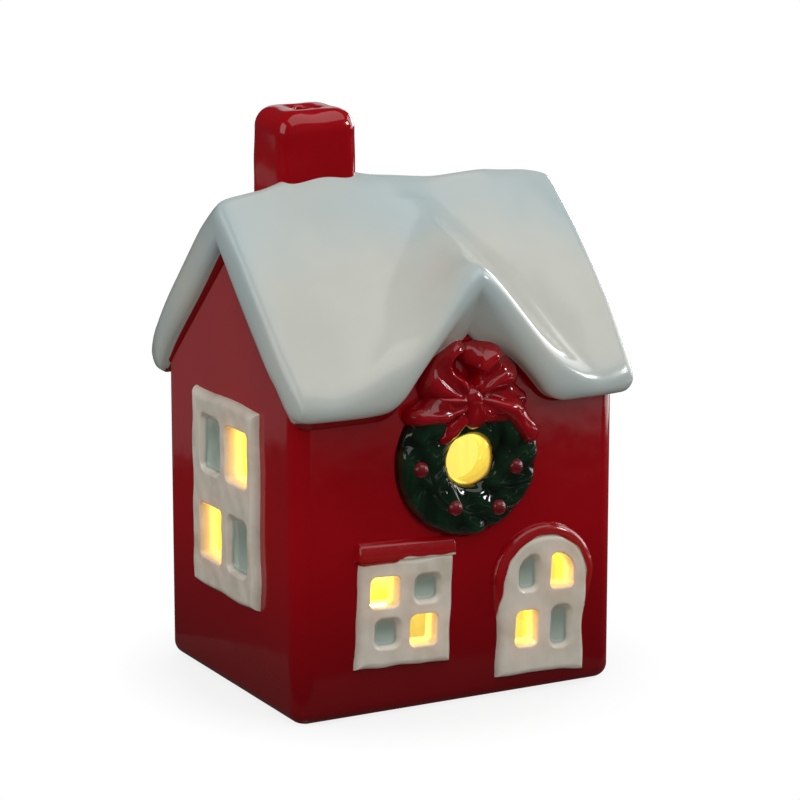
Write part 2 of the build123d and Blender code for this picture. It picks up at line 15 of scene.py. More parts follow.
import bpy
import numpy as np
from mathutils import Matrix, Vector

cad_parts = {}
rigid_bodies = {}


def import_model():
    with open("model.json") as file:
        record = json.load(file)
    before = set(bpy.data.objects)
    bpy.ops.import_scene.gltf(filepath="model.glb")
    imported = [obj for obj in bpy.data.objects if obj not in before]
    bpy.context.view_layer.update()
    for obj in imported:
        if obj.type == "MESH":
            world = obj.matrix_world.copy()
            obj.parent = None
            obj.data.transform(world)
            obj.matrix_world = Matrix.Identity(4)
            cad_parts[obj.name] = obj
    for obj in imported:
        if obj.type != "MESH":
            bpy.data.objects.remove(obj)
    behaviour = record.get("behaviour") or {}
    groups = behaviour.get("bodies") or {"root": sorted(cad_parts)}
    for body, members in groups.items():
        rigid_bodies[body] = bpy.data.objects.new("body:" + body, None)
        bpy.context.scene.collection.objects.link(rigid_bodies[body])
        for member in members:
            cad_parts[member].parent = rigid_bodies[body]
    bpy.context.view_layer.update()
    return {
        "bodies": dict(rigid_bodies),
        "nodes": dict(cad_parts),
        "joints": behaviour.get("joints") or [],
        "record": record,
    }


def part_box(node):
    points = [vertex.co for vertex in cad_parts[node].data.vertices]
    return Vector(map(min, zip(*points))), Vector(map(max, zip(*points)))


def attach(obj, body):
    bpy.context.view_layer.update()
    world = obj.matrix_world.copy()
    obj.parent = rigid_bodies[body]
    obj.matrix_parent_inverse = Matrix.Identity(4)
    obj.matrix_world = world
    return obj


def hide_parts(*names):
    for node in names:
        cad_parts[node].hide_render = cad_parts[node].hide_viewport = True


MM = 0.001
SEED = 11
FULL_TURN = 2 * math.pi
WHITE = (1, 1, 1, 1)
Array = np.ndarray
Pair = tuple[float, float]
Triple = tuple[float, float, float]
Piece = bpy.types.Object
Material = bpy.types.Material
Socket = bpy.types.NodeSocket
log = logging.getLogger("village_house")


class Body(str, Enum):
    """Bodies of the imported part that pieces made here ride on."""

    LIGHT = "light"
    HOUSE = "house"


class WallFinish(IntEnum):
    """Numbers of the walls' finishes."""

    GLAZE = 0
    CLAY = 1
    ROOM = 2
    REVEAL = 3


def linear(code: str) -> tuple[float, float, float, float]:
    """Turns an sRGB hex colour into linear values.

    Args:
        code: Colour such as "#8a0610".

    Returns:
        Red, green, blue and full opacity.
    """
    parts = [int(code[i:i + 2], 16) / 255 for i in (1, 3, 5)]
    red, green, blue = (c / 12.92 if c <= 0.04045 else ((c + 0.055) / 1.055) ** 2.4 for c in parts)
    return red, green, blue, 1.0


# Surfaces


def smooth_max(a: Array, b: Array, blend: Array | float) -> Array:
    """The larger of two heights, rounded where they cross over a band as wide as blend."""
    share = np.clip(0.5 + 0.5 * (a - b) / blend, 0.0, 1.0)
    return b * (1 - share) + a * share + blend * share * (1 - share)


def soft_abs(value: Array, radius: float) -> Array:
    """Distance from zero, rounded at its foot: the root of value squared plus radius squared."""
    return np.sqrt(value ** 2 + radius ** 2)


def smooth_step(low: float, high: float, value: Array) -> Array:
    """Eased step from 0 at low to 1 at high."""
    t = np.clip((value - low) / (high - low), 0.0, 1.0)
    return t * t * (3 - 2 * t)


def step_at(start: float, reach: Pair, value: Array) -> Array:
    """Eased step whose two ends lie at a reach from start."""
    return smooth_step(start + reach[0], start + reach[1], value)


def bell(value: Array, width: float) -> Array:
    """Bell curve: 1 at zero and 1/e at width on either side."""
    return np.exp(-(value / width) ** 2)


def blended(first: float, last: float, share: Array) -> Array:
    """Value that goes from first to last as share goes from 0 to 1."""
    return first + (last - first) * share


def nose(gap: Array, power: float) -> Array:
    """Rounded rim: height from 0 to 1 as gap goes from 0 to 1, fuller for a larger power."""
    return (1 - (1 - gap) ** power) ** (1 / power)


def outside_box(x: Array, y: Array, half_x: float, half_y: float, radius: Array | float) -> Array:
    """Distance outside a rectangle round zero whose corners have a radius."""
    a, b = np.abs(x) - half_x + radius, np.abs(y) - half_y + radius
    return np.minimum(np.maximum(a, b), 0) + np.hypot(np.maximum(a, 0), np.maximum(b, 0)) - radius


def box_middle(low: Vector, high: Vector) -> Array:
    """Middle, in millimetres, of a box given in metres."""
    return (np.array(low) + np.array(high)) / 2 / MM


def box_half(low: Vector, high: Vector) -> Array:
    """Half sizes, in millimetres, of a box given in metres."""
    return (np.array(high) - np.array(low)) / 2 / MM


def rim_spaced(rim: float, inner: int, edge: int) -> Array:
    """Stations from -1 to 1, crowded on a quarter circle inside each rim.

    Args:
        rim: Width of the rounded rim.
        inner: Number of stations between the rims.
        edge: Number of stations on each rim.

    Returns:
        Rising stations.
    """
    outer = 1 - rim * (1 - np.cos(np.linspace(0, math.pi / 2, edge, endpoint=False)))
    return np.concatenate([-outer, np.linspace(rim - 1, 1 - rim, inner), outer[::-1]])


def turns(count: int) -> Array:
    """Even angles round a full turn."""
    return np.linspace(0, FULL_TURN, count, endpoint=False)


def grid(first: Array, second: Array) -> tuple[Array, ...]:
    """Two rows of stations at every crossing, the first changing from row to row."""
    return np.meshgrid(first, second, indexing="ij")


class Ripple:
    """Sum of a few seeded plane waves, which stands for the hand of the potter."""

    shortest, longest = 0.7, 1.6

    def __init__(self, seed: int, length: float, height: float, count: int = 6) -> None:
        rng = np.random.default_rng(seed)
        turn = rng.uniform(0, FULL_TURN, count)
        step = FULL_TURN / (length * rng.uniform(self.shortest, self.longest, count))
        self.kx, self.ky = step * np.cos(turn), step * np.sin(turn)
        self.phase = rng.uniform(0, FULL_TURN, count)
        self.height = height / math.sqrt(count)

    def __call__(self, x: Array, y: Array) -> Array:
        """Height of the waves at each point."""
        waves = [np.sin(kx * x + ky * y + p) for kx, ky, p in zip(self.kx, self.ky, self.phase)]
        return self.height * np.sum(waves, axis=0)


def grid_faces(index: Array) -> Array:
    """Four-cornered faces of a grid of vertex numbers, anticlockwise seen from the third axis."""
    return np.stack([index[:-1, :-1], index[1:, :-1], index[1:, 1:], index[:-1, 1:]], axis=-1).reshape(-1, 4)


def numbered(shape: tuple[int, ...]) -> Array:
    """Vertex numbers of a grid."""
    return np.arange(math.prod(shape)).reshape(shape)


def ring_faces(shape: tuple[int, ...]) -> Array:
    """Faces of a grid whose last row joins its first."""
    index = numbered(shape)
    return grid_faces(np.concatenate([index, index[:1]]))


def put(name: str, data: bpy.types.ID) -> Piece:
    """Makes an object of a mesh, lamp or camera and links it to the scene."""
    obj = bpy.data.objects.new(name, data)
    bpy.context.scene.collection.objects.link(obj)
    return obj


def make_mesh(name: str, points: Array, faces: Array, **shares: Array) -> Piece:
    """Makes a smooth mesh object from millimetre points.

    Args:
        name: Name of the piece.
        points: Vertices in millimetres, with their coordinates along the last axis.
        faces: Four vertex numbers per face.
        **shares: Shares from 0 to 1 at each vertex, which the finish reads as attributes of these names.

    Returns:
        The object, linked to the scene.
    """
    mesh = bpy.data.meshes.new(name)
    mesh.from_pydata((points.reshape(-1, 3) * MM).tolist(), [], faces.tolist())
    mesh.update()
    mesh.polygons.foreach_set("use_smooth", np.ones(len(mesh.polygons), dtype=bool))
    for share, values in shares.items():
        layer = mesh.attributes.new(share, "FLOAT", "POINT")
        layer.data.foreach_set("value", np.clip(values, 0, 1).reshape(-1).astype(np.float32))
    return put(name, mesh)


def join_grids(parts: list[tuple[Array, Array]]) -> tuple[Array, Array]:
    """Puts several meshes into one list of points and faces."""
    points, faces, start = [], [], 0
    for part_points, part_faces in parts:
        points.append(part_points.reshape(-1, 3))
        faces.append(part_faces + start)
        start += len(points[-1])
    return np.concatenate(points), np.concatenate(faces)


def both_sheets(upper: Array, lower: Array) -> Array:
    """Values at the vertices of a closed slab, from those on its two sheets."""
    tail = upper.shape[2:]
    return np.concatenate([upper.reshape(-1, *tail), lower[1:-1, 1:-1].reshape(-1, *tail)])


def closed_slab(top: Array, bottom: Array) -> tuple[Array, Array]:
    """Joins two sheets over one grid along their common rim.

    Args:
        top: Points of the upper sheet, as rows, columns and coordinates.
        bottom: Points of the lower sheet, equal to the upper one along the rim.

    Returns:
        Points and faces.
    """
    rows, columns = top.shape[:2]
    upper = numbered((rows, columns))
    lower = upper.copy()
    lower[1:-1, 1:-1] = rows * columns + numbered((rows - 2, columns - 2))
    return both_sheets(top, bottom), np.concatenate([grid_faces(upper), grid_faces(lower)[:, ::-1]])


# Soft pieces


@dataclass(frozen=True)
class Hump:
    """Bell-shaped hump along one axis: its height, place and width."""

    height: float
    place: float
    width: float

    def __call__(self, value: Array) -> Array:
        """Height at each value."""
        return self.height * bell(value - self.place, self.width)


@dataclass(frozen=True)
class Snow:
    """Sizes of the snow roof, in millimetres.

    Heights are above the eaves. A pair of reaches is where a change starts and ends, from the place that it belongs to.
    Humps run along x, the gable's from its middle, and apex_lift runs along y.
    """

    rise: float = 45.3
    eave_face: float = 6.4
    crown: float = 15.2
    shell: float = 7.0
    bedding: float = 0.05
    ridge_round: float = 1.5
    ridge_width: float = 9.0
    right_ridge: float = 0.5
    right_ridge_reach: Pair = (8.0, 24.0)
    middle_ridge: Hump = Hump(1.2, 3.0, 10.0)
    wall_corner: float = 3.8
    gable_x: float = 1.5
    gable_rise: float = 33.8
    gable_half_width: float = 21.5
    gable_crown: float = 10.6
    gable_round: float = 3.2
    gable_peak: float = 1.6
    gable_run: Pair = (-37.0, -13.0)
    gable_climb: float = 3.4
    gable_drift: float = 2.5
    gable_end: float = -6.0
    gable_end_slope: float = 1.2
    left_flank: float = 0.96
    flank_reach: Pair = (-4.0, 4.0)
    left_valley: float = 17.0
    right_valley: float = 10.0
    valley_reach: Pair = (-9.0, 7.0)
    flare: float = 7.0
    eave_nose: float = 2.8
    eave_power: float = 2.4
    end_nose: float = 3.4
    end_power: int = 3
    corner_pull: float = 0.045
    corner_power: int = 7
    soft_rake: Hump = Hump(8.5, -9.0, 8.5)
    left_lip: float = 2.3
    right_lip: float = 1.0
    lip_change: Pair = (-12.0, 12.0)
    lip_edge: Pair = (0.2, 2.6)
    lip_reach: Pair = (-9.0, -2.0)
    gable_droop: Hump = Hump(6.6, 0.0, 7.5)
    gable_droop_gap: float = 1.2
    left_end_drop: float = 2.6
    right_end_drop: float = 2.8
    end_drop_length: float = 10.0
    left_shoulder: float = 1.3
    shoulder_y: float = 7.0
    shoulder_width: float = 7.0
    right_eave_drop: float = 1.2
    right_eave_reach: Pair = (5.0, 32.0)
    right_eave_width: float = 8.0
    rake_lift: float = 1.5
    rake_edge: Pair = (0.05, 0.5)
    rake_fade: Pair = (1.0, -7.0)
    apex_lift: Hump = Hump(1.1, 0.0, 8.0)
    loft_rim: Pair = (-5.4, -4.2)
    heap: Hump = Hump(3.6, -17.0, 12.0)
    heap_width: float = 7.5
    joint_edge: Pair = (2.4, 1.6)
    joint_gap: Pair = (6.0, 8.0)
    rake_joint: Pair = (0.75, 0.55)
    rake_joint_end: float = 3.0


class SnowRoof:
    """Thick snow roof: two long slopes, a gable over the wreath, and soft noses all round."""

    long_steps, span_steps, nose_steps = 190, 160, 9
    rim_tint, rim_tint_width = 0.5, 3.0
    valley_tint = Hump(0.08, 0.0, 4.0)
    ridge_tint = Hump(0.6, -5.0, 11.0)
    gable_tint = Hump(0.3, 0.0, 9.0)
    right_tint, right_tint_reach = 0.15, (5.0, 35.0)

    def __init__(self, low: Vector, high: Vector, walls: Vector, sizes: Snow = Snow()) -> None:
        self.sizes = sizes
        self.half_length, self.half_span = high.x / MM, high.y / MM
        self.eave = low.z / MM
        self.wall_x, self.wall_y = walls.x / MM, walls.y / MM
        self.slope = (sizes.rise - sizes.eave_face) / self.half_span
        self.gable_slope = (sizes.gable_rise - sizes.eave_face) / sizes.gable_half_width
        self.ripple = Ripple(SEED, length=26.0, height=0.35)
        self.small_ripple = Ripple(SEED + 1, length=9.0, height=0.04)

    def top(self, x: Array, y: Array) -> Array:
        """Snow surface: the softened larger of the long slopes and the gable's, heaped up at the chimney."""
        s = self.sizes
        main = self.eave + s.rise - self.slope * soft_abs(y, s.ridge_round)
        back = smooth_step(*s.gable_run, y)
        across = soft_abs(x - s.gable_x - s.gable_drift * back, s.gable_round) - s.gable_peak
        flank = blended(s.left_flank, 1, step_at(s.gable_x, s.flank_reach, x))
        gable = self.eave + s.gable_rise + s.gable_climb * back - flank * self.gable_slope * across
        gable -= s.gable_end_slope * np.maximum(y - s.gable_end, 0)
        crest = s.right_ridge * smooth_step(*s.right_ridge_reach, x)
        crest = crest + s.middle_ridge(x)
        main = main + crest * bell(y, s.ridge_width)
        heap = s.heap(x) * bell(y, s.heap_width)
        valley = blended(s.left_valley, s.right_valley, step_at(s.gable_x, s.valley_reach, x))
        past = np.clip((np.abs(x) - self.half_length) / s.end_drop_length + 1, 0, 1)
        drop = np.where(x < 0, s.left_end_drop, s.right_end_drop) * past ** 2 * bell(y, s.ridge_width)
        drop = drop - s.left_shoulder * past * (x < 0) * bell(y - s.shoulder_y, s.shoulder_width)
        eave = smooth_step(*s.right_eave_reach, x) * bell(y + self.half_span, s.right_eave_width)
        drop = drop + s.right_eave_drop * eave
        return smooth_max(main, gable, valley) + heap - drop + self.ripple(x, y) + self.small_ripple(x, y)

    def overhang(self, x: Array, y: Array) -> Array:
        """Distance outside the walls, whose corners are round."""
        return outside_box(x, y, self.wall_x, self.wall_y, self.sizes.wall_corner)

    def notch(self, x: Array) -> Array:
        """Underside of the front gable: straight slopes that flare into the eaves on arcs."""
        s = self.sizes
        apex = self.eave + s.gable_rise - s.gable_crown
        across = np.abs(x - s.gable_x)
        corner = (apex - self.eave) / self.gable_slope
        angle = math.atan(self.gable_slope)
        run = s.flare * math.tan(angle / 2)
        line = apex - self.gable_slope * across
        arc = self.eave + s.flare - np.sqrt(np.maximum(s.flare ** 2 - (across - corner - run) ** 2, 0))
        height = np.where(across < corner - run * math.cos(angle), line, arc)
        return np.where(across > corner + run, self.eave, height)

    def bottom(self, x: Array, y: Array, top: Array) -> Array:
        """Underside: rests on the walls, opens under the front gable and is hollowed over the room."""
        s = self.sizes
        far_x, far_y = np.abs(x), np.abs(y)
        apex = self.eave + s.rise - s.crown
        under = np.maximum(apex - (apex - self.eave) / self.wall_y * far_y, self.eave)
        under = np.where(y < 0, np.maximum(under, self.notch(x)), under)
        sink = s.gable_droop(x - s.gable_x) * (y < 0)
        sink = sink * smooth_step(self.half_span, self.wall_y + s.gable_droop_gap, far_y)
        under = under - sink * (far_y > self.wall_y)
        lip = blended(s.left_lip, s.right_lip, smooth_step(*s.lip_change, x))
        lip = lip * smooth_step(*s.lip_edge, self.overhang(x, y))
        under = under + lip * step_at(self.wall_y, s.lip_reach, -y)
        rake = s.rake_lift + s.apex_lift(y)
        rake *= step_at(self.wall_x, s.rake_edge, far_x)
        under = under + rake * step_at(self.wall_y, s.rake_fade, far_y)
        inside = 1 - step_at(self.wall_x, s.loft_rim, far_x)
        inside *= 1 - step_at(self.wall_y, s.loft_rim, far_y)
        return under - s.bedding + inside * np.maximum(top - s.shell - under, 0)

    def tint(self, x: Array, y: Array, edge: Array) -> Array:
        """Share of bluish colour: thinner glaze on rims, valleys, ridge and front gable; painted sheen to the right."""
        s = self.sizes
        main = self.eave + s.rise - self.slope * np.abs(y)
        gable = self.eave + s.gable_rise - self.gable_slope * np.abs(x - s.gable_x)
        share = self.rim_tint * np.exp(-edge / self.rim_tint_width)
        share += self.valley_tint(main - gable) * (y < 0)
        share += self.ridge_tint(y)
        share += self.gable_tint(x - s.gable_x) * (y < 0)
        # Painted sheen: the bluish colour grows towards the right, where the right slope catches more light.
        return share + self.right_tint * smooth_step(*self.right_tint_reach, x)

    def joint(self, x: Array, y: Array) -> Array:
        """Share of red on the underside, where the glaze of the walls runs on to the snow."""
        s = self.sizes
        share = smooth_step(*s.joint_edge, self.overhang(x, y)) * (np.abs(y) > self.wall_y - s.wall_corner)
        share *= smooth_step(*s.joint_gap, np.abs(x - s.gable_x)) * (np.abs(x) < self.wall_x)
        rake = smooth_step(*s.rake_joint, np.abs(x) - self.wall_x) * (np.abs(y) < self.wall_y - s.rake_joint_end)
        return np.maximum(share, rake)

    def build(self, name: str) -> Piece:
        """Meshes the roof as two sheets whose gap closes on a rounded nose at the eaves and gable ends."""
        s = self.sizes
        u, v = grid(rim_spaced(s.end_nose / self.half_length, self.long_steps, self.nose_steps),
                    rim_spaced(s.eave_nose / self.half_span, self.span_steps, self.nose_steps))
        x = self.half_length * u * (1 - s.corner_pull * np.abs(v) ** s.corner_power)
        y = self.half_span * v * (1 - s.corner_pull * np.abs(u) ** s.corner_power)
        end, eave = (1 - np.abs(u)) * self.half_length, (1 - np.abs(v)) * self.half_span
        rake = s.soft_rake(x) * (v < 0)
        opened = nose(np.clip(end / s.end_nose, 0, 1), s.end_power)
        opened = opened * nose(np.clip(eave / (s.eave_nose + rake), 0, 1), s.eave_power)
        top = self.top(x, y)
        bottom = self.bottom(x, y, top)
        middle, half = (top + bottom) / 2, (top - bottom) / 2 * opened
        sheets = [np.stack([x, y, height], axis=-1) for height in (middle + half, middle - half)]
        tint, joint = self.tint(x, y, np.minimum(end, eave)), self.joint(x, y)
        return make_mesh(name, *closed_slab(*sheets), tint=both_sheets(tint, tint),
                         painted=both_sheets(0 * joint, joint))


@dataclass(frozen=True)
class Leaves:
    """Sizes of the wreath's leaves, in millimetres, and their rows as a share of the ring's width and a count."""

    rows: tuple[tuple[float, int], ...] = ((0.22, 9), (0.55, 13), (0.86, 17))
    length: float = 4.6
    width: float = 2.7
    height: float = 1.0
    lowest: float = 0.6
    dome: float = 0.7
    vein: float = 0.22
    vein_width: float = 0.4
    sway: float = 0.7
    least_sway: float = 0.2
    lean: float = 0.4
    jitter: float = 0.25
    row_jitter: float = 0.06
    blend: float = 0.16


class LeafWreath:
    """Ring of overlapping leaves under thick glaze, round an open middle."""

    trim = 0.4
    sunk_leaf = 0.7
    around_steps, section_steps = 420, 66
    skirt = 0.06
    arch_power = 0.7
    leaf_start = 1.5
    outer_foot, inner_foot = -0.7, -3.9
    glow_edge = (0.16, 0.08)
    tint_share = 0.7

    def __init__(self, low: Vector, high: Vector, wall: float, hole: float, sizes: Leaves = Leaves()) -> None:
        self.sizes = sizes
        self.centre = box_middle(low, high)[[0, 2]]
        self.outer = box_half(low, high)[0] - self.trim
        self.inner = hole / 2
        self.wall = wall
        self.relief = wall - low.y / MM - self.sunk_leaf * sizes.height
        self.ripple = Ripple(SEED + 5, length=6.0, height=0.25)

    def leaves(self, angle: Array, share: Array) -> Array:
        """Height of the leaves: domes of elliptical plan, each with a vein, run together where they overlap."""
        s = self.sizes
        rng = np.random.default_rng(SEED)
        width = self.outer - self.inner
        radius = self.inner + share * width
        total = np.zeros_like(angle)
        for place, count in s.rows:
            for k in range(count):
                middle = FULL_TURN * (k + rng.uniform(-s.jitter, s.jitter)) / count
                row = place + rng.uniform(-s.row_jitter, s.row_jitter)
                along = ((angle - middle + math.pi) % FULL_TURN - math.pi) * radius
                out = (share - row) * width
                lean = rng.choice([-1, 1]) * rng.uniform(s.least_sway, 1.0) * s.sway + s.lean
                a = along * math.cos(lean) + out * math.sin(lean)
                b = out * math.cos(lean) - along * math.sin(lean)
                reach = np.clip(1 - (a / s.length) ** 2 - (b / s.width) ** 2, 0, 1)
                height = s.height * rng.uniform(s.lowest, 1.0) * reach ** s.dome
                total += np.exp((height - s.vein * bell(b, s.vein_width) * reach) / s.blend) - 1
        return s.blend * np.log1p(np.maximum(total, 0))

    def build(self, name: str) -> Piece:
        """Meshes the ring as a half-round section swept round the axis, raised by its leaves."""
        angle, turn = grid(turns(self.around_steps), np.linspace(0, 1, self.section_steps))
        bow = np.clip((turn - self.skirt) / (1 - 2 * self.skirt), 0, 1) * math.pi
        share, arch = (1 - np.cos(bow)) / 2, np.sin(bow) ** self.arch_power
        radius = self.inner + share * (self.outer - self.inner)
        x, z = self.centre[0] + radius * np.cos(angle), self.centre[1] + radius * np.sin(angle)
        leaf = self.leaves(angle, share) + self.ripple(x, z)
        depth = (self.relief - self.sizes.height) * arch + leaf * np.minimum(arch * self.leaf_start, 1)
        depth = np.where(turn < self.skirt, self.inner_foot, depth)
        depth = np.where(turn > 1 - self.skirt, self.outer_foot, depth)
        return make_mesh(name, np.stack([x, self.wall - depth, z], axis=-1), ring_faces(angle.shape),
                         tint=leaf / self.sizes.height * self.tint_share, glow=smooth_step(*self.glow_edge, turn))


class Berries:
    """Four dented balls on the wreath, placed across and up from its middle, in millimetres."""

    places = ((10.1, -2.2), (6.1, -10.6), (-4.3, -9.5), (-12.4, -0.4))
    radius = 1.7
    proud = 3.2
    steps = 28
    pole = 0.02
    dent = 0.03
    dents = 3

    def ball(self) -> tuple[Array, Array]:
        """Points and faces of a ball round zero, on a grid of turns and heights."""
        turn, lift = grid(turns(2 * self.steps), np.linspace(self.pole, math.pi - self.pole, self.steps))
        out = np.sin(lift) * (1 + self.dent * np.sin(self.dents * turn) * np.sin(lift) ** 2)
        points = np.stack([out * np.cos(turn), out * np.sin(turn), -np.cos(lift)], axis=-1)
        return self.radius * points.reshape(-1, 3), ring_faces(turn.shape)

    def build(self, name: str, centre: Array, wall: float) -> Piece:
        """Meshes the berries round the wreath's centre, proud of the wall."""
        points, faces = self.ball()
        parts = [(np.array((centre[0] + across, wall - self.proud, centre[1] + up)) + points, faces)
                 for across, up in self.places]
        return make_mesh(name, *join_grids(parts))


@dataclass(frozen=True)
class Lobe:
    """One puffy lobe of the ribbon bow.

    Discs are x and z from the knot and a radius, in millimetres. The outline runs tight round pairs of them, and the
    hollow is a pit's x, z, radius and depth.
    """

    discs: tuple[Triple, ...]
    centre: Pair
    height: float
    pleats: float
    hollow: tuple[float, float, float, float] | None = None


class RibbonBow:
    """Ribbon bow modelled as puffy lobes that stand on the front wall."""

    farthest, halvings = 40.0, 26
    outline_blend = 0.7
    around_steps, out_steps, crowding = 240, 46, 0.8
    dome_edge, dome_power, dome_start = 2.6, 0.52, 1.5
    pleat_count, pleat_twist, pleat_power = 8, 0.3, 0.7
    pleat_start, pleat_end = (1.0, 5.0), 6
    tint, pleat_tint, least_pleat = 0.35, 0.4, 0.1
    foot = -0.4

    def __init__(self, knot: Array, wall: float) -> None:
        self.knot, self.wall = knot, wall
        self.ripple = Ripple(SEED + 3, length=7.0, height=0.22)

    @staticmethod
    def distance(points: Array, first: Triple, last: Triple) -> Array:
        """Distance outside a band that runs tight round two discs."""
        a, b = np.array(first[:2]), np.array(last[:2])
        run = b - a
        share = np.clip(((points - a) @ run) / (run @ run), 0, 1)
        nearest = a + share[..., None] * run
        return np.linalg.norm(points - nearest, axis=-1) - blended(first[2], last[2], share)

    def reach(self, lobe: Lobe, turn: Array) -> Array:
        """Distance from the lobe's centre to its outline in each direction, found by halving."""
        aim = np.stack([np.cos(turn), np.sin(turn)], axis=-1)
        low, high = np.zeros_like(turn), np.full_like(turn, self.farthest)
        for _ in range(self.halvings):
            middle = (low + high) / 2
            points = np.array(lobe.centre) + aim * middle[..., None]
            gaps = [self.distance(points, a, b) for a, b in zip(lobe.discs, lobe.discs[1:])]
            within = np.logaddexp.reduce(np.stack([-gap / self.outline_blend for gap in gaps]), axis=0) > 0
            low, high = np.where(within, middle, low), np.where(within, high, middle)
        return low

    def lobe(self, lobe: Lobe) -> tuple[Array, Array, Array]:
        """Points, faces and tint of a lobe: a dome over its outline, pleated and hollowed where the loop opens."""
        turn, share = grid(turns(self.around_steps), np.linspace(0, 1, self.out_steps) ** self.crowding)
        reach = self.reach(lobe, turn[:, 0])[:, None]
        x = lobe.centre[0] + np.cos(turn) * reach * share
        z = lobe.centre[1] + np.sin(turn) * reach * share
        away = np.hypot(x, z)
        dome = (1 - share ** self.dome_edge) ** self.dome_power
        wave = np.cos(self.pleat_count * np.arctan2(z, x) + self.pleat_twist * away)
        pleat = lobe.pleats * np.sign(wave) * np.abs(wave) ** self.pleat_power
        pleat = pleat * smooth_step(*self.pleat_start, away) * (1 - share ** self.pleat_end)
        depth = lobe.height * dome + (pleat + self.ripple(x, z)) * np.minimum(dome * self.dome_start, 1)
        # Painted highlight and shade: more of the lighter second colour on the pleats' crests, less in their creases.
        tint = self.tint + self.pleat_tint * pleat / max(lobe.pleats, self.least_pleat)
        if lobe.hollow:
            hollow_x, hollow_z, radius, drop = lobe.hollow
            pit = bell((x - hollow_x) ** 2 + (z - hollow_z) ** 2, radius ** 2)
            depth -= drop * pit
            # Painted shade: the loop's hollow loses the lighter colour and goes dark.
            tint = tint * (1 - pit)
        depth = np.where(share >= 1, self.foot, depth)
        points = np.stack([self.knot[0] + x, self.wall - depth, self.knot[1] + z], axis=-1)
        return points, ring_faces(turn.shape)[:, ::-1], tint.reshape(-1)

    def build(self, name: str, lobes: tuple[Lobe, ...]) -> Piece:
        """Meshes the lobes of one node."""
        parts = [self.lobe(lobe) for lobe in lobes]
        points, faces = join_grids([(p, f) for p, f, _ in parts])
        return make_mesh(name, points, faces, tint=np.concatenate([t for _, _, t in parts]))


BOW = {
    "bow_left_loop": (
        Lobe(((-0.5, 0.5, 2.6), (-6.8, 3.2, 4.4), (-5.2, 7.8, 3.4), (-3.4, 11.0, 2.3)), (-4.9, 5.2), 4.4, 0.5,
             (-2.9, 7.4, 2.1, 3.2)),
    ),
    "bow_right_loop": (
        Lobe(((0.5, 0.5, 2.6), (6.4, 3.8, 4.6), (3.6, 8.2, 3.6), (-0.4, 9.6, 2.4)), (4.4, 5.0), 5.2, 0.6),
        Lobe(((3.0, 0.4, 2.4), (8.4, -0.2, 2.9), (11.8, -1.8, 2.3)), (8.0, 0.0), 4.4, 0.4),
    ),
    "bow_left_tail": (
        Lobe(((-0.5, -0.5, 2.6), (-7.6, -1.6, 3.2), (-13.2, -2.8, 2.1)), (-7.0, -1.6), 5.2, 0.45),
        Lobe(((-1.5, -3.0, 2.0), (-5.4, -6.2, 1.9), (-7.4, -8.6, 1.3)), (-4.6, -5.6), 5.0, 0.2),
    ),
    "bow_right_tail": (
        Lobe(((1.0, -1.0, 2.6), (9.4, -3.0, 2.9), (14.4, -9.6, 2.3)), (9.0, -3.0), 5.8, 0.45),
        Lobe(((1.0, -2.6, 2.8), (8.6, -3.6, 3.2)), (5.0, -3.2), 4.8, 0.2),
    ),
    "bow_knot": (
        Lobe(((-0.4, 0.8, 3.0), (0.5, -4.0, 3.3)), (0.0, -1.6), 5.4, 0.15),
    ),
}


@dataclass(frozen=True)
class Pane:
    """One pane: middle and half sizes from the window's foot, in millimetres, lit or blind, and its corner radii.

    Corner radii go with upper right, lower right, upper left and lower left, seen along the second axis.
    """

    across: float
    up: float
    half_width: float
    half_height: float
    lit: bool
    corners: tuple[float, float, float, float] = (0.9, 0.9, 0.9, 0.9)


@dataclass(frozen=True)
class Window:
    """A window's panes, whether it is arched, and how far a red hood reaches above it, in millimetres.

    A window that leans has its foot's middle, its size, the height that it turns about and its clockwise lean in
    degrees.
    """

    node: str
    panes: tuple[Pane, ...]
    arch: bool = False
    hood: float = 0.0
    foot: Pair | None = None
    size: Pair | None = None
    pivot: float = 0.0
    lean: float = 0.0


def four_panes(aside: float, pitch: Pair = (12.8, 19.4), lit: Pair = (4.8, 5.6), blind: Pair = (3.7, 5.2),
               middle: float = 22.2) -> tuple[Pane, ...]:
    """Two rows of two panes, of which the diagonal that falls along the second axis is lit and the other is blind.

    Args:
        aside: Distance of the panes' common middle from the window's own middle, across.
        pitch: Distances between middles, across and up.
        lit: Half width and half height of a lit pane.
        blind: Half width and half height of a blind pane.
        middle: Height of the panes' common middle above the window's foot.

    Returns:
        The panes.
    """
    places = [(i, j) for i in (-1, 1) for j in (-1, 1)]
    return tuple(Pane(aside + i * pitch[0] / 2, middle + j * pitch[1] / 2, *(blind if i == j else lit), i != j)
                 for i, j in places)


WINDOWS = (
    Window("front_window_frame", (
        Pane(-5.2, 16.2, 3.0, 2.9, True), Pane(4.8, 16.3, 2.1, 2.1, False),
        Pane(-4.3, 7.3, 2.1, 2.2, False), Pane(4.3, 7.3, 2.8, 3.0, True)),
           hood=3.7, foot=(-13.4, 10.8), size=(21.6, 23.2), pivot=11.6, lean=2.4),
    Window("arched_window_frame", (
        Pane(-4.1, 10.2, 2.3, 3.5, True), Pane(4.2, 10.0, 1.5, 3.6, False),
        Pane(-4.2, 22.3, 1.5, 2.9, False, (0.8, 0.8, 2.8, 0.8)),
        Pane(4.1, 22.3, 2.4, 3.4, True, (4.0, 0.8, 0.8, 0.8))),
           arch=True, hood=2.3, foot=(19.4, 4.3), size=(20.6, 30.6), lean=2.4),
    Window("left_gable_window_frame", four_panes(-0.9)),
    Window("right_gable_window_frame", four_panes(0.9)),
)


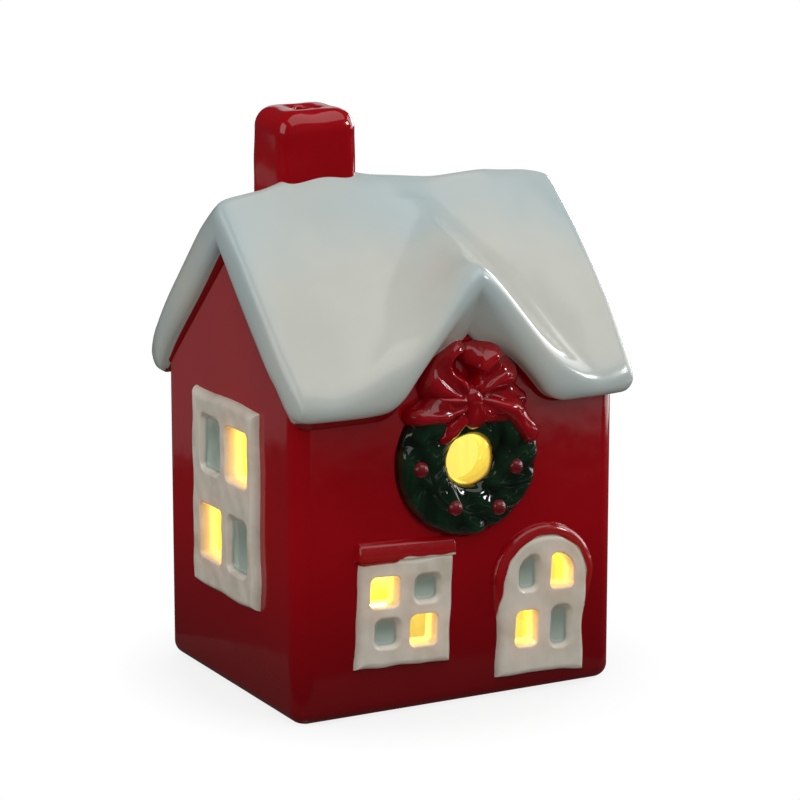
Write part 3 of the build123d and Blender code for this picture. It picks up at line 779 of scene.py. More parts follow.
class SoftFrame:
    """Hand-modelled window frame: a pillowy relief on the wall with pockets, open panes and a red hood above."""

    step = 0.17
    seat = 2.1
    buried = 0.7
    kept_depth = 0.98
    margin = 1.6
    swell = 0.45
    rim = 1.7
    lip = 0.6
    blind_lip = 1.5
    blind_depth = 1.4
    pit_floor, hole_edge = -0.15, -0.3
    halo, glow_reach, glow_edge = 0.14, 1.8, (0.35, 0.75)
    blind_edge, blind_shade, blind_fade = (0.9, -0.1), 0.75, 0.25
    brush_relief, brush_start, brush_sway, brush_edge, brush_tail = 0.12, 0.5, 0.6, (-0.1, 0.15), 1.2
    hood_power, hood_lap, hood_thinnest = 2.4, 0.3, 0.05
    arch_tail, arch_line, arch_share = (-14.0, 2.5), 0.15, 0.95
    flat_end, flat_line, flat_line_start, flat_share = (1.5, 0.2), 0.6, 2, 1.05

    def __init__(self, window: Window, low: Vector, high: Vector, wall_x: float, wall_y: float) -> None:
        self.window = window
        self.gable = "gable" in window.node
        self.side = -1 if "left" in window.node else 1
        axis = 1 if self.gable else 0
        self.middle, self.half = box_middle(low, high)[axis], box_half(low, high)[axis]
        self.foot, self.tall = low.z / MM, (high.z - low.z) / MM
        if window.size:
            self.middle, self.foot = window.foot
            self.half, self.tall = window.size[0] / 2, window.size[1]
        self.wall = wall_x if self.gable else wall_y
        self.proud = max(abs(low[1 - axis]), abs(high[1 - axis])) / MM - self.wall
        self.ripple = Ripple(SEED + len(window.node), length=11.0, height=0.3 if self.gable else 0.22)
        self.brush = Ripple(SEED + 2 * len(window.node), length=5.0, height=0.4)

    @staticmethod
    def outside(u: Array, v: Array, pane: Pane) -> Array:
        """Distance outside a pane, whose four corners have their own radii."""
        upper_right, lower_right, upper_left, lower_left = pane.corners
        x, z = u - pane.across, v - pane.up
        radius = np.where(x > 0, np.where(z > 0, upper_right, lower_right), np.where(z > 0, upper_left, lower_left))
        return outside_box(x, z, pane.half_width, pane.half_height, radius)

    def inside(self, u: Array, v: Array) -> Array:
        """Distance in from the frame's outline, which is straight-sided and square or round at the top."""
        if not self.window.arch:
            return np.minimum(self.half - np.abs(u), np.minimum(v, self.tall - v))
        root = np.hypot(u, np.maximum(v - self.tall + self.half, 0))
        return np.minimum(self.half - root, v)

    def hooded(self, u: Array, v: Array, depth: Array) -> tuple[Array, Array]:
        """Depth with the hood's bulge above the frame, and the share of red, which ends on a brushed line."""
        if self.window.arch:
            over, line, height = -self.inside(u, v), self.arch_line, self.arch_share
            share = step_at(self.tall - self.half, self.arch_tail, v)
        else:
            over, line, height = v - self.tall, self.flat_line * np.tanh(u + self.flat_line_start), self.flat_share
            share = step_at(self.half, self.flat_end, np.abs(u))
        reach = self.window.hood * np.maximum(share, self.hood_thinnest)
        bulge = nose(1 - np.clip(np.maximum(over, 0) / reach, 0, 1), self.hood_power) * share
        bulge = (self.proud * height + self.buried) * bulge - self.buried
        depth = np.where(over > -self.hood_lap, np.maximum(depth, bulge), depth)
        brushed = over + self.brush_start + self.brush_sway * self.brush(u, v)
        return depth, smooth_step(*self.brush_edge, brushed - line - self.brush_tail * (1 - share))

    def placed(self, u: Array, v: Array, depth: Array) -> Array:
        """Points on the window's wall, turned by its lean."""
        turn, rise = math.radians(self.window.lean), v - self.window.pivot
        across = self.middle + u * math.cos(turn) + rise * math.sin(turn)
        height = self.foot + self.window.pivot + rise * math.cos(turn) - u * math.sin(turn)
        out = self.wall + depth
        return np.stack((self.side * out, across, height) if self.gable else (across, -out, height), axis=-1)

    def build(self, name: str) -> Piece:
        """Meshes the relief on a grid over the wall: rounded edge, soft pockets, open lit panes."""
        reach = self.margin + self.window.hood
        u, v = grid(np.arange(-self.half - reach, self.half + reach, self.step),
                    np.arange(-self.margin, self.tall + reach, self.step))
        edge = np.clip((self.inside(u, v) + self.swell + self.ripple(u, v)) / self.rim, 0, 1)
        depth = -self.buried + (self.proud + self.buried) * nose(edge, 2)
        depth += self.brush_relief * self.brush(u, v) * edge
        red, blind, glow = np.zeros_like(u), np.zeros_like(u), np.zeros_like(u)
        if self.window.hood:
            depth, red = self.hooded(u, v, depth)
        keep = depth > -self.kept_depth * self.buried
        for pane in self.window.panes:
            gap = self.outside(u, v, pane)
            pit = smooth_step(self.lip if pane.lit else self.blind_lip, self.pit_floor, gap)
            depth -= (self.proud + self.seat if pane.lit else self.blind_depth) * pit
            if pane.lit:
                keep &= gap > self.hole_edge
                halo = self.halo * np.exp(-np.maximum(gap, 0) / self.glow_reach)
                glow = np.maximum(glow, np.maximum(halo, smooth_step(*self.glow_edge, pit)))
            else:
                # Painted shade: a blind pane's share falls towards its top, so its grey-green darkens there as under
                # the frame's lip.
                shade = self.blind_shade + self.blind_fade * (pane.up - v) / pane.half_height
                blind = np.maximum(blind, smooth_step(*self.blind_edge, gap) * shade)
        whole = keep[:-1, :-1] | keep[1:, :-1] | keep[1:, 1:] | keep[:-1, 1:]
        quads = grid_faces(numbered(u.shape))[whole.reshape(-1)]
        if self.gable and self.side < 0:
            quads = quads[:, ::-1]
        used, faces = np.unique(quads, return_inverse=True)
        shares = {key: value.reshape(-1)[used] for key, value in (("tint", red), ("pane", blind), ("glow", glow))}
        return make_mesh(name, self.placed(u, v, depth).reshape(-1, 3)[used], faces.reshape(-1, 4), **shares)


@dataclass(frozen=True)
class Stack:
    """Sizes of the chimney, in millimetres, and the power of its softened square."""

    square: float = 5.0
    shoulder: float = 4.6
    flue: float = 3.0
    flue_draft: float = 0.05
    flue_lip: float = 0.6
    flue_floor: float = 6.0
    dish: float = 0.6
    taper: float = 0.015
    settled: float = 0.7


class SoftChimney:
    """Chimney with soft corners, a rounded shoulder, a dished top and an open flue."""

    around_steps, side_steps, shoulder_steps, top_steps, flue_steps = 180, 40, 14, 16, 8
    rippled = 48

    def __init__(self, low: Vector, high: Vector, sizes: Stack = Stack()) -> None:
        self.sizes = sizes
        self.half, self.middle = box_half(low, high), box_middle(low, high)
        self.low, self.high = low.z / MM, high.z / MM - sizes.settled
        self.ripple = Ripple(SEED + 9, length=12.0, height=0.1)

    def build(self, name: str) -> Piece:
        """Meshes a profile swept round a softened square: up the side, over the shoulder and down the flue."""
        s = self.sizes
        arc = np.linspace(0, math.pi / 2, self.shoulder_steps)[1:]
        side = np.linspace(self.low, self.high - s.shoulder, self.side_steps)
        inset = np.concatenate([np.zeros(self.side_steps), s.shoulder * (1 - np.cos(arc))])
        level = np.concatenate([side, self.high - s.shoulder + s.shoulder * np.sin(arc)])
        turn = turns(self.around_steps)[:, None]
        cos, sin = np.cos(turn), np.sin(turn)
        plan = (np.abs(cos) / self.half[0]) ** s.square + (np.abs(sin) / self.half[1]) ** s.square
        narrow = 1 - s.taper * (level - self.low) / (self.high - self.low)
        outer = plan ** (-1 / s.square) * narrow - inset[None, :]
        share = np.linspace(0, 1, self.top_steps)[None, 1:]
        top = outer[:, -1:] * (1 - share) + s.flue * share
        bore = np.full((len(turn), self.flue_steps), s.flue - s.flue_draft)
        radius = np.concatenate([outer, top, bore], axis=1)
        lip = self.high - s.dish * share ** 2
        down = np.linspace(self.high - s.dish - s.flue_lip, self.low + s.flue_floor, self.flue_steps)
        height = np.concatenate([level, lip[0], down])[None, :] + 0 * radius
        x, y = self.middle[0] + radius * cos, self.middle[1] + radius * sin
        bulge = self.ripple(x + y, height) * (np.arange(radius.shape[1]) < self.rippled)
        x = np.clip(x + bulge * cos, self.middle[0] - self.half[0], self.middle[0] + self.half[0])
        return make_mesh(name, np.stack([x, y + bulge * sin, height], axis=-1), ring_faces(radius.shape))


# Finishes


class Graph:
    """Nodes of one procedural material."""

    noise_low, noise_high = 0.3, 0.7
    faint_glow, strong_glow, glow_edge = "#ff9a5a", "#ffdf52", (0.3, 0.85)

    def __init__(self, name: str) -> None:
        self.material = bpy.data.materials.new(name)
        self.material.use_nodes = True
        self.start(self.material.node_tree, "ShaderNodeOutputMaterial")

    @classmethod
    def of(cls, tree: bpy.types.NodeTree, output: str) -> Graph:
        """Graph over a tree that isn't a material's."""
        graph = cls.__new__(cls)
        graph.start(tree, output)
        return graph

    def start(self, tree: bpy.types.NodeTree, output: str) -> None:
        """Empties the tree and gives it its output node."""
        self.tree = tree
        tree.nodes.clear()
        self.output = self.add(output)

    def finish(self, shader: bpy.types.Node) -> None:
        """Links a shader to the output."""
        self.tree.links.new(shader.outputs[0], self.output.inputs[0])

    def add(self, kind: str, inputs: dict | None = None, **settings) -> bpy.types.Node:
        """Adds a node, sets its properties and sets or links its inputs.

        Args:
            kind: Node type.
            inputs: Values or output sockets by input name or number.
            **settings: Properties of the node.

        Returns:
            The node.
        """
        node = self.tree.nodes.new(kind)
        for key, value in settings.items():
            setattr(node, key, value)
        for key, value in (inputs or {}).items():
            if isinstance(value, Socket):
                self.tree.links.new(value, node.inputs[key])
            else:
                node.inputs[key].default_value = value
        return node

    def math(self, operation: str, *values) -> Socket:
        """Arithmetic on numbers or sockets."""
        return self.add("ShaderNodeMath", dict(enumerate(values)), operation=operation).outputs[0]

    def swayed(self, value, noise, amount: float) -> Socket:
        """Value moved up and down by a noise round its middle."""
        return self.math("ADD", value, self.math("MULTIPLY", self.math("SUBTRACT", noise, 0.5), amount))

    def mix(self, share, first, second) -> Socket:
        """Mixes two colours, which may be hex codes, by a share."""
        first, second = (linear(colour) if isinstance(colour, str) else colour for colour in (first, second))
        return self.add("ShaderNodeMix", {0: share, 6: first, 7: second}, data_type="RGBA").outputs[2]

    def step(self, value, low: float, high: float) -> Socket:
        """Eased step from 0 at low to 1 at high."""
        node = self.add("ShaderNodeMapRange", {0: value, 1: low, 2: high}, interpolation_type="SMOOTHSTEP")
        return node.outputs[0]

    def spread(self, noise, low: float, high: float) -> Socket:
        """Values from low to high over the middle part of a noise."""
        inputs = {0: noise, 1: self.noise_low, 2: self.noise_high, 3: low, 4: high}
        return self.add("ShaderNodeMapRange", inputs).outputs[0]

    def share(self, name: str) -> Socket:
        """A share that the mesh keeps at its vertices."""
        return self.add("ShaderNodeAttribute", attribute_name=name).outputs["Fac"]

    def place(self) -> Socket:
        """Object coordinates in millimetres."""
        coords = self.add("ShaderNodeTexCoord").outputs["Object"]
        return self.add("ShaderNodeVectorMath", {0: coords, 3: 1 / MM}, operation="SCALE").outputs[0]

    def split(self, vector) -> list[Socket]:
        """The three parts of a vector."""
        return list(self.add("ShaderNodeSeparateXYZ", {0: vector}).outputs)

    def noise(self, place, size: float, detail: float = 3.0, rough: float = 0.5) -> Socket:
        """Soft noise whose patches are about size millimetres wide."""
        inputs = {"Vector": place, "Scale": 1 / size, "Detail": detail, "Roughness": rough}
        return self.add("ShaderNodeTexNoise", inputs).outputs[0]

    def cells(self, place, size: float) -> Socket:
        """Distance to the nearest of scattered points about size millimetres apart."""
        return self.add("ShaderNodeTexVoronoi", {"Vector": place, "Scale": 1 / size}).outputs["Distance"]

    def bump(self, height, depth: float, under=None) -> Socket:
        """Surface direction of a relief whose full height is depth millimetres."""
        inputs = {"Height": height, "Distance": depth * MM, "Strength": 1.0}
        if under is not None:
            inputs["Normal"] = under
        return self.add("ShaderNodeBump", inputs).outputs[0]

    def glow(self, strength: float) -> dict:
        """Shader inputs of clay that light shines through: peach where it is faint and yellow where it is strong."""
        share = self.share("glow")
        colour = self.mix(self.step(share, *self.glow_edge), self.faint_glow, self.strong_glow)
        return {"Emission_Color": colour, "Emission_Strength": self.math("MULTIPLY", share, strength)}

    def surface(self, **inputs) -> Material:
        """Ends the tree in a Principled shader with these inputs, underscores standing for spaces."""
        values = {key.replace("_", " "): value for key, value in inputs.items()}
        self.finish(self.add("ShaderNodeBsdfPrincipled", values))
        return self.material


@dataclass(frozen=True)
class Glaze:
    """Glossy glaze: colour by thickness, painted sheen and low painted shade, and the size of its pools and ripples."""

    name: str
    base: str
    deep: str
    thin_sheen_and_low_shade: str
    pool: float = 16.0
    rough: float = 0.12
    coat: float = 0.5
    coat_rough: float = 0.06
    specular: float = 0.5
    ripple: float = 0.14
    pits: float = 0.15
    fine: float = 0.006
    tinted: bool = False
    glow: float = 0.0
    painted: str = ""
    fine_size: float = 1.3
    ripple_size: float = 7.0
    pit_pitch: float = 3.1
    tint_sway: float = 0.7
    low_shade_sway: float = 14.0
    low_shade_reach: Pair = (48.0, 4.0)
    low_shade_share: float = 0.85
    pool_edge: Pair = (0.35, 0.72)
    tint_edge: Pair = (0.15, 0.95)
    pit_edge: Pair = (0.07, 0.02)
    paint_edge: Pair = (0.3, 0.7)
    least_rough: float = 0.8
    most_rough: float = 1.25

    def build(self) -> Material:
        """Makes the material: pooled colour, pinholes, a soft ripple and a clear coat."""
        g = Graph(self.name)
        place = g.place()
        pool = g.noise(place, self.pool)
        fine = g.noise(place, self.fine_size, detail=2.0)
        colour = g.mix(g.step(pool, *self.pool_edge), self.base, self.deep)
        if self.tinted:
            thin_sheen_and_low_shade = g.step(g.swayed(g.share("tint"), pool, self.tint_sway), *self.tint_edge)
        else:
            # Untinted glazes turn to the darker second colour towards the bottom: painted shade low on the walls.
            height = g.math("ADD", g.split(place)[2], g.math("MULTIPLY", pool, self.low_shade_sway))
            thin_sheen_and_low_shade = g.math("MULTIPLY", g.step(height, *self.low_shade_reach), self.low_shade_share)
        # Mixes in the second colour: thinner glaze and painted sheen where the tint share lies, painted shade low down.
        colour = g.mix(thin_sheen_and_low_shade, colour, self.thin_sheen_and_low_shade)
        pits = g.math("MULTIPLY", g.step(g.cells(place, self.pit_pitch), *self.pit_edge), self.pits)
        colour = g.mix(pits, colour, self.deep)
        if self.painted:
            colour = g.mix(g.step(g.share("painted"), *self.paint_edge), colour, self.painted)
        normal = g.bump(g.noise(place, self.ripple_size, detail=1.0), self.ripple, g.bump(fine, self.fine))
        rough = g.spread(fine, self.rough * self.least_rough, self.rough * self.most_rough)
        return g.surface(Base_Color=colour, Roughness=rough, Normal=normal, Coat_Weight=self.coat,
                         Coat_Roughness=self.coat_rough, Specular_IOR_Level=self.specular,
                         **(g.glow(self.glow) if self.glow else {}))


@dataclass(frozen=True)
class FrameGlaze:
    """Hand-painted window frame: off-white face, red hood and grey-green blind panes, by the mesh's own shares."""

    name: str = "frame_glaze"
    face: str = "#e8e0d2"
    shade: str = "#d6ccba"
    side: str = "#a00310"
    pane: str = "#bccbc0"
    pane_top_shade: str = "#8fa398"
    worn_size: float = 8.0
    worn_edge: Pair = (0.36, 0.74)
    glass_edge: Pair = (0.55, 1.0)
    pane_edge: Pair = (0.05, 0.75)
    brush_size: float = 3.4
    brush_depth: float = 0.09
    fine_size: float = 0.9
    fine_depth: float = 0.01
    rough: Pair = (0.16, 0.26)
    coat: float = 0.8
    coat_rough: float = 0.06
    specular: float = 0.45
    glow: float = 0.9

    def build(self) -> Material:
        """Makes the material: worn face colour, with the red and grey-green laid on where the shares say."""
        g = Graph(self.name)
        place, pane = g.place(), g.share("pane")
        fine = g.noise(place, self.fine_size, detail=2.0)
        worn = g.step(g.noise(place, self.worn_size, rough=0.55), *self.worn_edge)
        face = g.mix(worn, self.face, self.shade)
        # Blind panes turn to the darker grey-green where their share is low, mostly at their tops: painted shade.
        glass = g.mix(g.step(pane, *self.glass_edge), self.pane_top_shade, self.pane)
        colour = g.mix(g.step(pane, *self.pane_edge), face, glass)
        colour = g.mix(g.share("tint"), colour, self.side)
        normal = g.bump(g.noise(place, self.brush_size, detail=2.0), self.brush_depth, g.bump(fine, self.fine_depth))
        return g.surface(Base_Color=colour, Roughness=g.spread(fine, *self.rough), Normal=normal,
                         Coat_Weight=self.coat, Coat_Roughness=self.coat_rough, Specular_IOR_Level=self.specular,
                         **g.glow(self.glow))


@dataclass(frozen=True)
class Matte:
    """Moulded plastic, bare clay, metal or laminate with a grain."""

    name: str
    base: str
    other: str
    grain: float
    rough: float
    depth: float = 0.02
    metal: float = 0.0
    stretch: Triple = (1.0, 1.0, 1.0)
    subsurface: float = 0.0
    grain_edge: Pair = (0.3, 0.7)
    least_rough: float = 0.8
    most_rough: float = 1.2

    def build(self) -> Material:
        """Makes the material: two tones by a noise, with roughness and relief from the same noise."""
        g = Graph(self.name)
        drawn = g.add("ShaderNodeVectorMath", {0: g.place(), 1: self.stretch}, operation="MULTIPLY").outputs[0]
        grain = g.noise(drawn, self.grain, detail=4.0, rough=0.6)
        colour = g.mix(g.step(grain, *self.grain_edge), self.base, self.other)
        rough = g.spread(grain, self.rough * self.least_rough, self.rough * self.most_rough)
        return g.surface(Base_Color=colour, Roughness=rough, Normal=g.bump(grain, self.depth), Metallic=self.metal,
                         Subsurface_Weight=self.subsurface)


@dataclass(frozen=True)
class Glow:
    """Warm clay or plastic lit from inside, whose colour changes from bottom to top."""

    name: str
    low: str
    high: str
    bottom: float
    top: float
    strength: float
    unlit: str = ""
    rough: float = 0.35
    mottle: float = 0.3
    mottle_size: float = 3.0
    fine_size: float = 1.5
    fine_depth: float = 0.03

    def build(self) -> Material:
        """Makes the material: emission that changes colour with height, mottled a little, over its unlit colour."""
        g = Graph(self.name)
        place = g.place()
        rise = g.step(g.split(place)[2], self.bottom, self.top)
        mottled = g.swayed(rise, g.noise(place, self.mottle_size), self.mottle)
        colour = g.mix(mottled, self.low, self.high)
        return g.surface(Base_Color=linear(self.unlit) if self.unlit else colour, Roughness=self.rough,
                         Emission_Color=colour, Emission_Strength=self.strength,
                         Normal=g.bump(g.noise(place, self.fine_size), self.fine_depth))


# Scene


@dataclass(frozen=True)
class Lamp:
    """Area lamp, in metres and watts, that glazes mirror unless mirrored is off, and that lights unless lit is off."""

    name: str
    place: Triple
    aim: Triple
    size: Pair
    watts: float
    mirrored: bool = True
    lit: bool = True

    def build(self) -> None:
        """Makes the lamp."""
        data = bpy.data.lights.new(self.name, "AREA")
        data.shape, data.size, data.size_y = "RECTANGLE", *self.size
        data.energy = self.watts
        lamp = put(self.name, data)
        lamp.location = self.place
        lamp.rotation_euler = (Vector(self.aim) - Vector(self.place)).to_track_quat("-Z", "Y").to_euler()
        lamp.visible_camera = False
        lamp.visible_glossy = self.mirrored
        lamp.visible_diffuse = self.lit


def card(name: str, x: float, y: float, size: Pair, watts: float) -> Lamp:
    """Bright card that lies on the table and faces up."""
    return Lamp(name, (x, y, 0.0), (x, y, 1.0), size, watts)


LAMPS = (
    Lamp("window", (0.95, -0.1, 0.38), (0.0, 0.0, 0.07), (0.5, 0.7), 3.1),
    Lamp("pane", (0.7, -0.5, 0.42), (0.0, 0.0, 0.07), (0.12, 0.16), 1.3, lit=False),
    Lamp("overhead", (0.1, -0.3, 1.0), (0.0, 0.0, 0.08), (1.2, 1.0), 3.8),
    Lamp("front", (-0.1, -1.05, 0.45), (0.0, 0.0, 0.06), (1.3, 1.0), 3.0, mirrored=False),
    Lamp("front_sheen", (-0.1, -1.05, 0.45), (0.0, 0.0, 0.06), (1.3, 1.0), 2.2),
    Lamp("left", (-1.0, 0.1, 0.45), (0.0, 0.0, 0.06), (0.8, 0.8), 3.0),
    Lamp("back", (0.95, 0.42, 0.24), (0.0, 0.0, 0.07), (0.6, 0.36), 5.0),
    Lamp("backdrop", (0.5, 0.98, 0.36), (0.0, 0.0, 0.07), (0.5, 0.45), 0.4),
    card("card", -0.24, 0.4, (0.34, 0.41), 0.06),
    Lamp("under", (0.0, 0.0, -0.35), (0.0, 0.0, 0.0), (0.08, 0.08), 0.22),
    card("edge_card", 0.3, -0.02, (0.06, 0.36), 0.16),
    card("eave_card", 0.12, -0.29, (0.18, 0.1), 0.007),
    card("eave_card_right", 0.23, -0.28, (0.16, 0.1), 0.022),
)


@dataclass(frozen=True)
class View:
    """Camera fitted to the photograph's own perspective, in degrees, metres and millimetres of film."""

    azimuth: float = -28.19
    elevation: float = 13.0
    distance: float = 0.7554
    target: Triple = (0.00292, 0.0, 0.05913)
    lens: float = 157.05
    sensor: float = 36.0
    nearest: float = 0.01

    def build(self) -> None:
        """Makes the camera and gives it to the scene."""
        a, e = math.radians(self.azimuth), math.radians(self.elevation)
        back = Vector((math.sin(a) * math.cos(e), -math.cos(a) * math.cos(e), math.sin(e)))
        data = bpy.data.cameras.new("camera")
        data.lens, data.sensor_width, data.clip_start = self.lens, self.sensor, self.nearest
        camera = put("camera", data)
        camera.location = Vector(self.target) + back * self.distance
        camera.rotation_euler = (-back).to_track_quat("-Z", "Y").to_euler()
        bpy.context.scene.camera = camera


class Studio:
    """Pale floor, plain surroundings and soft lamps."""

    floor_radius, floor_level = 62.0, -0.05
    floor_turns, floor_rings, floor_pole = 96, 12, 0.002
    floor_seen, floor_bounced = "#e6e6e4", "#4a4846"
    floor_white, floor_fade, floor_mirrored = 0.82, (44.0, 61.0), 0.02
    sky = 0.42
    ground = (0.12, 0.12 * 0.9, 0.12 * 0.76, 1)
    horizon = (-0.15, 0.25)
    mirrored = 0.03

    @staticmethod
    def seen(g: Graph, path) -> Socket:
        """Whether the camera sees a place, straight or through something clear."""
        return g.math("MAXIMUM", path["Is Camera Ray"], path["Is Transmission Ray"])

    def floor(self) -> None:
        """White floor that keeps a faint shadow and lets the underside be seen from below."""
        turn, share = grid(turns(self.floor_turns), np.linspace(self.floor_pole, 1, self.floor_rings))
        radius = share * self.floor_radius
        points = np.stack([radius * np.cos(turn), radius * np.sin(turn), np.full_like(turn, self.floor_level)], -1)
        obj = make_mesh("floor", points, ring_faces(turn.shape)[:, ::-1])
        g = Graph("floor_white")
        path = g.add("ShaderNodeLightPath").outputs
        mirror = g.math("MULTIPLY", path["Is Glossy Ray"], self.floor_mirrored)
        seen = g.math("MAXIMUM", self.seen(g, path), mirror)
        x, y, _ = g.split(g.place())
        far = g.math("SQRT", g.math("ADD", g.math("MULTIPLY", x, x), g.math("MULTIPLY", y, y)))
        near, rim = self.floor_fade
        fade = g.add("ShaderNodeMapRange", {0: far, 1: near, 2: rim, 3: self.floor_white, 4: 1.0}).outputs[0]
        pale = g.mix(path["Is Camera Ray"], self.floor_bounced, self.floor_seen)
        matt = g.add("ShaderNodeBsdfDiffuse", {"Color": pale}).outputs[0]
        white = g.add("ShaderNodeEmission", {"Color": WHITE, "Strength": 1.0}).outputs[0]
        lit = g.add("ShaderNodeMixShader", {0: g.math("MULTIPLY", seen, fade), 1: matt, 2: white}).outputs[0]
        clear = g.add("ShaderNodeBsdfTransparent").outputs[0]
        below = g.add("ShaderNodeNewGeometry").outputs["Backfacing"]
        g.finish(g.add("ShaderNodeMixShader", {0: below, 1: lit, 2: clear}))
        obj.data.materials.append(g.material)
        obj.visible_shadow = False

    def surroundings(self) -> None:
        """Soft light from above and less from below, dim in reflections, that the camera sees as white."""
        world = bpy.data.worlds.new("studio")
        world.use_nodes = True
        g = Graph.of(world.node_tree, "ShaderNodeOutputWorld")
        path = g.add("ShaderNodeLightPath").outputs
        height = g.split(g.add("ShaderNodeTexCoord").outputs["Generated"])[2]
        light = g.mix(g.step(height, *self.horizon), self.ground, (self.sky, self.sky, self.sky, 1))
        shade = g.mix(path["Is Glossy Ray"], light, (self.mirrored, self.mirrored, self.mirrored, 1))
        g.finish(g.add("ShaderNodeBackground", {0: g.mix(self.seen(g, path), shade, WHITE)}))
        bpy.context.scene.world = world

    def build(self) -> None:
        """Sets up floor, surroundings, lamps and camera."""
        self.floor()
        self.surroundings()
        for lamp in LAMPS:
            lamp.build()
        View().build()
        bpy.context.scene.view_settings.view_transform = "Standard"


# Nodes of the battery tealight, by finish
TEALIGHT = (
    (("positive_contact", "negative_contact", "hinge_pin", "cover_screws"),
     Matte("contact_steel", "#b9babb", "#9fa1a3", grain=1.2, rough=0.3, depth=0.005, metal=1.0,
           stretch=(1.0, 8.0, 8.0))),
    (("light_housing", "base_cover", "battery_door"),
     Matte("housing_plastic", "#eceae2", "#e2dfd5", grain=2.0, rough=0.42, depth=0.01, subsurface=0.1)),
    (("flame_diffuser",), Glow("flame_plastic", "#ffb028", "#fff0b0", bottom=15.0, top=34.0, strength=2.0)),
    (("led",), Glow("led_epoxy", "#ffc64a", "#fff2c8", bottom=8.0, top=16.0, strength=3.0)),
    (("circuit_board",), Matte("board_laminate", "#1d5a36", "#174a2c", grain=1.6, rough=0.4)),
    (("resistor",), Matte("resistor_body", "#1a1a1b", "#26262a", grain=0.5, rough=0.5, depth=0.01)),
    (("coin_cell",), Matte("cell_steel", "#c4c6c8", "#a9abae", grain=0.8, rough=0.28, depth=0.006, metal=1.0,
                           stretch=(1.0, 6.0, 1.0))),
    (("switch_body",), Matte("switch_can", "#a7a9ab", "#8f9193", grain=0.9, rough=0.35, depth=0.006, metal=1.0)),
    (("switch_slider",), Matte("knob_plastic", "#1e1e20", "#2a2a2c", grain=0.6, rough=0.45, depth=0.015)),
)


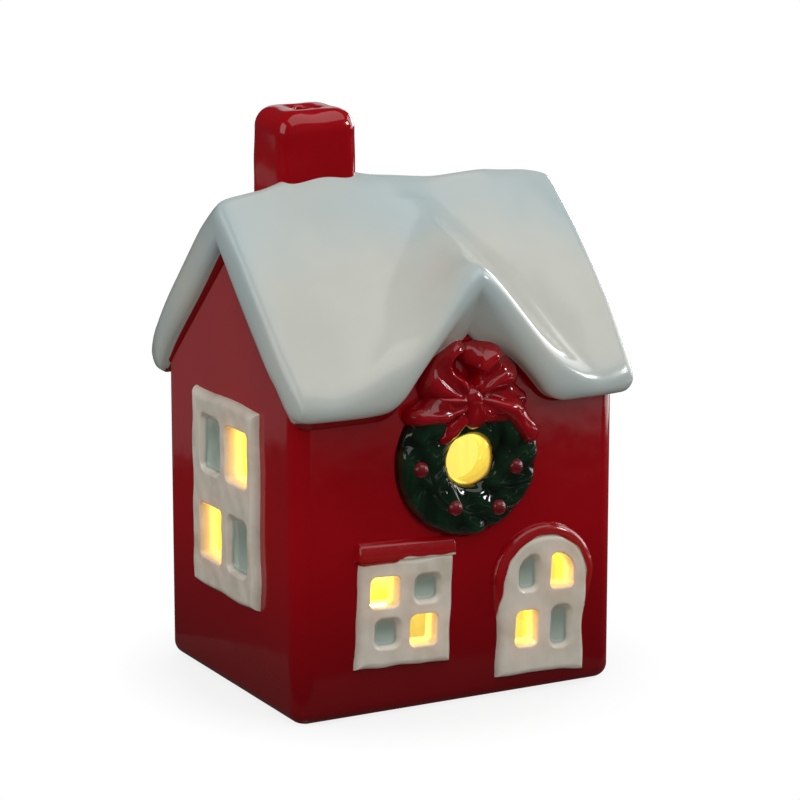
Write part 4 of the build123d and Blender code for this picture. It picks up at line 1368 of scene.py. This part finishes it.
class House:
    """The dressed house: soft pieces in place of plain solids, and a finish on every node."""

    room_inset, floor_top = 3.9, 0.2
    reveal_depth, reveal_height = (1.9, 4.19), (8, 66)
    foot_facing, foot_height = -0.9, 1.0
    wreath_hole = 10.4
    warm_watts, warm_colour, warm_radius, warm_place = 0.08, (1.0, 0.6, 0.1), 0.004, (0, 0, 0.042)

    def __init__(self, frame: dict) -> None:
        self.nodes = frame["nodes"]
        self.wall_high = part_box("house_body")[1]
        self.wall_x, self.wall_y = self.wall_high.x / MM, self.wall_high.y / MM
        self.red = Glaze("red_glaze", "#a30412", "#98030f", "#640209", pool=30.0, coat=0.35, ripple=0.1).build()

    def dress(self, obj: Piece, body: Body, material: Material, slot: str, *nodes: str) -> None:
        """Gives a new piece its finish and its body, and hides the nodes that it stands for."""
        obj.data.materials.append(material)
        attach(obj, body.value)
        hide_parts(*nodes)
        log.info("%s stands for %s, %d faces", obj.name, ", ".join(nodes), len(obj.data.polygons))

    def paint(self, node: str, *materials: Material) -> Piece:
        """Puts finishes on a node that keeps its own shape."""
        obj = self.nodes[node]
        obj.data.materials.clear()
        for material in materials:
            obj.data.materials.append(material)
        log.info("%s painted %s", node, ", ".join(m.name for m in materials))
        return obj

    def wall_finish(self, polygon: bpy.types.MeshPolygon) -> WallFinish:
        """A wall face's finish: glaze, bare clay under the foot, lit room or lit reveal of a pane."""
        x, y, z = (c / MM for c in polygon.center)
        sunk = min(self.wall_x - abs(x), self.wall_y - abs(y))
        (near, far), (low, high) = self.reveal_depth, self.reveal_height
        if near < sunk < far and low < z < high:
            return WallFinish.REVEAL
        if abs(x) < self.wall_x - self.room_inset and abs(y) < self.wall_y - self.room_inset and z > self.floor_top:
            return WallFinish.ROOM
        foot = polygon.normal.z < self.foot_facing and z < self.foot_height
        return WallFinish.CLAY if foot else WallFinish.GLAZE

    def ceramic(self) -> None:
        """Walls glazed outside, lit inside and bare under the foot, the chimney and the painted window frames."""
        clay = Matte("bare_clay", "#efe6d6", "#e0d4c0", grain=5.0, rough=0.85, depth=0.05).build()
        room = Glow("lit_room", "#ffe062", "#fff07a", bottom=5.0, top=60.0, strength=0.85, unlit="#6e5a2c").build()
        reveal = Glow("lit_clay", "#ffd54c", "#ffe25a", bottom=20.0, top=60.0, strength=0.95).build()
        for polygon in self.paint("house_body", self.red, clay, room, reveal).data.polygons:
            polygon.material_index = self.wall_finish(polygon).value
        chimney = SoftChimney(*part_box("chimney")).build("soft_chimney")
        self.dress(chimney, Body.HOUSE, self.red, "red_glaze", "chimney")
        paint = FrameGlaze().build()
        for window in WINDOWS:
            frame = SoftFrame(window, *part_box(window.node), self.wall_x, self.wall_y)
            piece = frame.build(window.node.replace("_frame", "_soft_frame"))
            self.dress(piece, Body.HOUSE, paint, "frame_glaze", window.node)

    def roof(self) -> None:
        """Snow roof."""
        snow = Glaze("snow_glaze", "#cacbc2", "#c3c5bc", "#b7c6c7", pool=22.0, rough=0.2, coat=0.4, coat_rough=0.12,
                     specular=0.45, ripple=0.06, pits=0.0, fine=0.002, tinted=True, painted="#94030f").build()
        piece = SnowRoof(*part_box("roof"), self.wall_high).build("snow_roof")
        self.dress(piece, Body.HOUSE, snow, "snow_glaze", "roof")

    def wreath(self) -> None:
        """Leafy wreath and its berries."""
        leaf = Glaze("wreath_glaze", "#0a1a0e", "#050d07", "#14301c", pool=6.0, tinted=True, glow=0.8).build()
        berry = Glaze("berry_glaze", "#7c0c16", "#640710", "#54040a", pool=3.0, rough=0.35, coat=0.9,
                      specular=0.3).build()
        ring = LeafWreath(*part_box("wreath"), -self.wall_y, self.wreath_hole)
        self.dress(ring.build("leaf_wreath"), Body.HOUSE, leaf, "wreath_glaze", "wreath")
        berries = Berries().build("holly_berries", ring.centre, -self.wall_y)
        self.dress(berries, Body.HOUSE, berry, "berry_glaze", "berries")

    def bow(self) -> None:
        """Ribbon bow over the wreath."""
        satin = Glaze("ribbon_glaze", "#980411", "#80030d", "#a40a18", pool=8.0, coat=0.7, tinted=True).build()
        ribbon = RibbonBow(box_middle(*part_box("bow_knot"))[[0, 2]], -self.wall_y)
        for node, lobes in BOW.items():
            piece = ribbon.build(node.replace("bow", "ribbon"), lobes)
            self.dress(piece, Body.HOUSE, satin, "red_glaze", node)

    def tealight(self) -> None:
        """Finishes of the battery tealight and the warm light that it gives."""
        for nodes, finish in TEALIGHT:
            material = finish.build()
            for node in nodes:
                self.paint(node, material)
        data = bpy.data.lights.new("warm_light", "POINT")
        data.energy, data.color, data.shadow_soft_size = self.warm_watts, self.warm_colour, self.warm_radius
        lamp = put("warm_light", data)
        lamp.location = self.warm_place
        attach(lamp, Body.LIGHT.value)

    def build(self) -> None:
        """Dresses every part of the house."""
        self.ceramic()
        self.roof()
        self.wreath()
        self.bow()
        self.tealight()


def main() -> None:
    """Loads the frame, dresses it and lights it."""
    logging.basicConfig(level=logging.INFO, format="%(name)s %(message)s")
    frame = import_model()
    House(frame).build()
    Studio().build()
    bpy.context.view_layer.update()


if __name__ == "__main__":
    main()
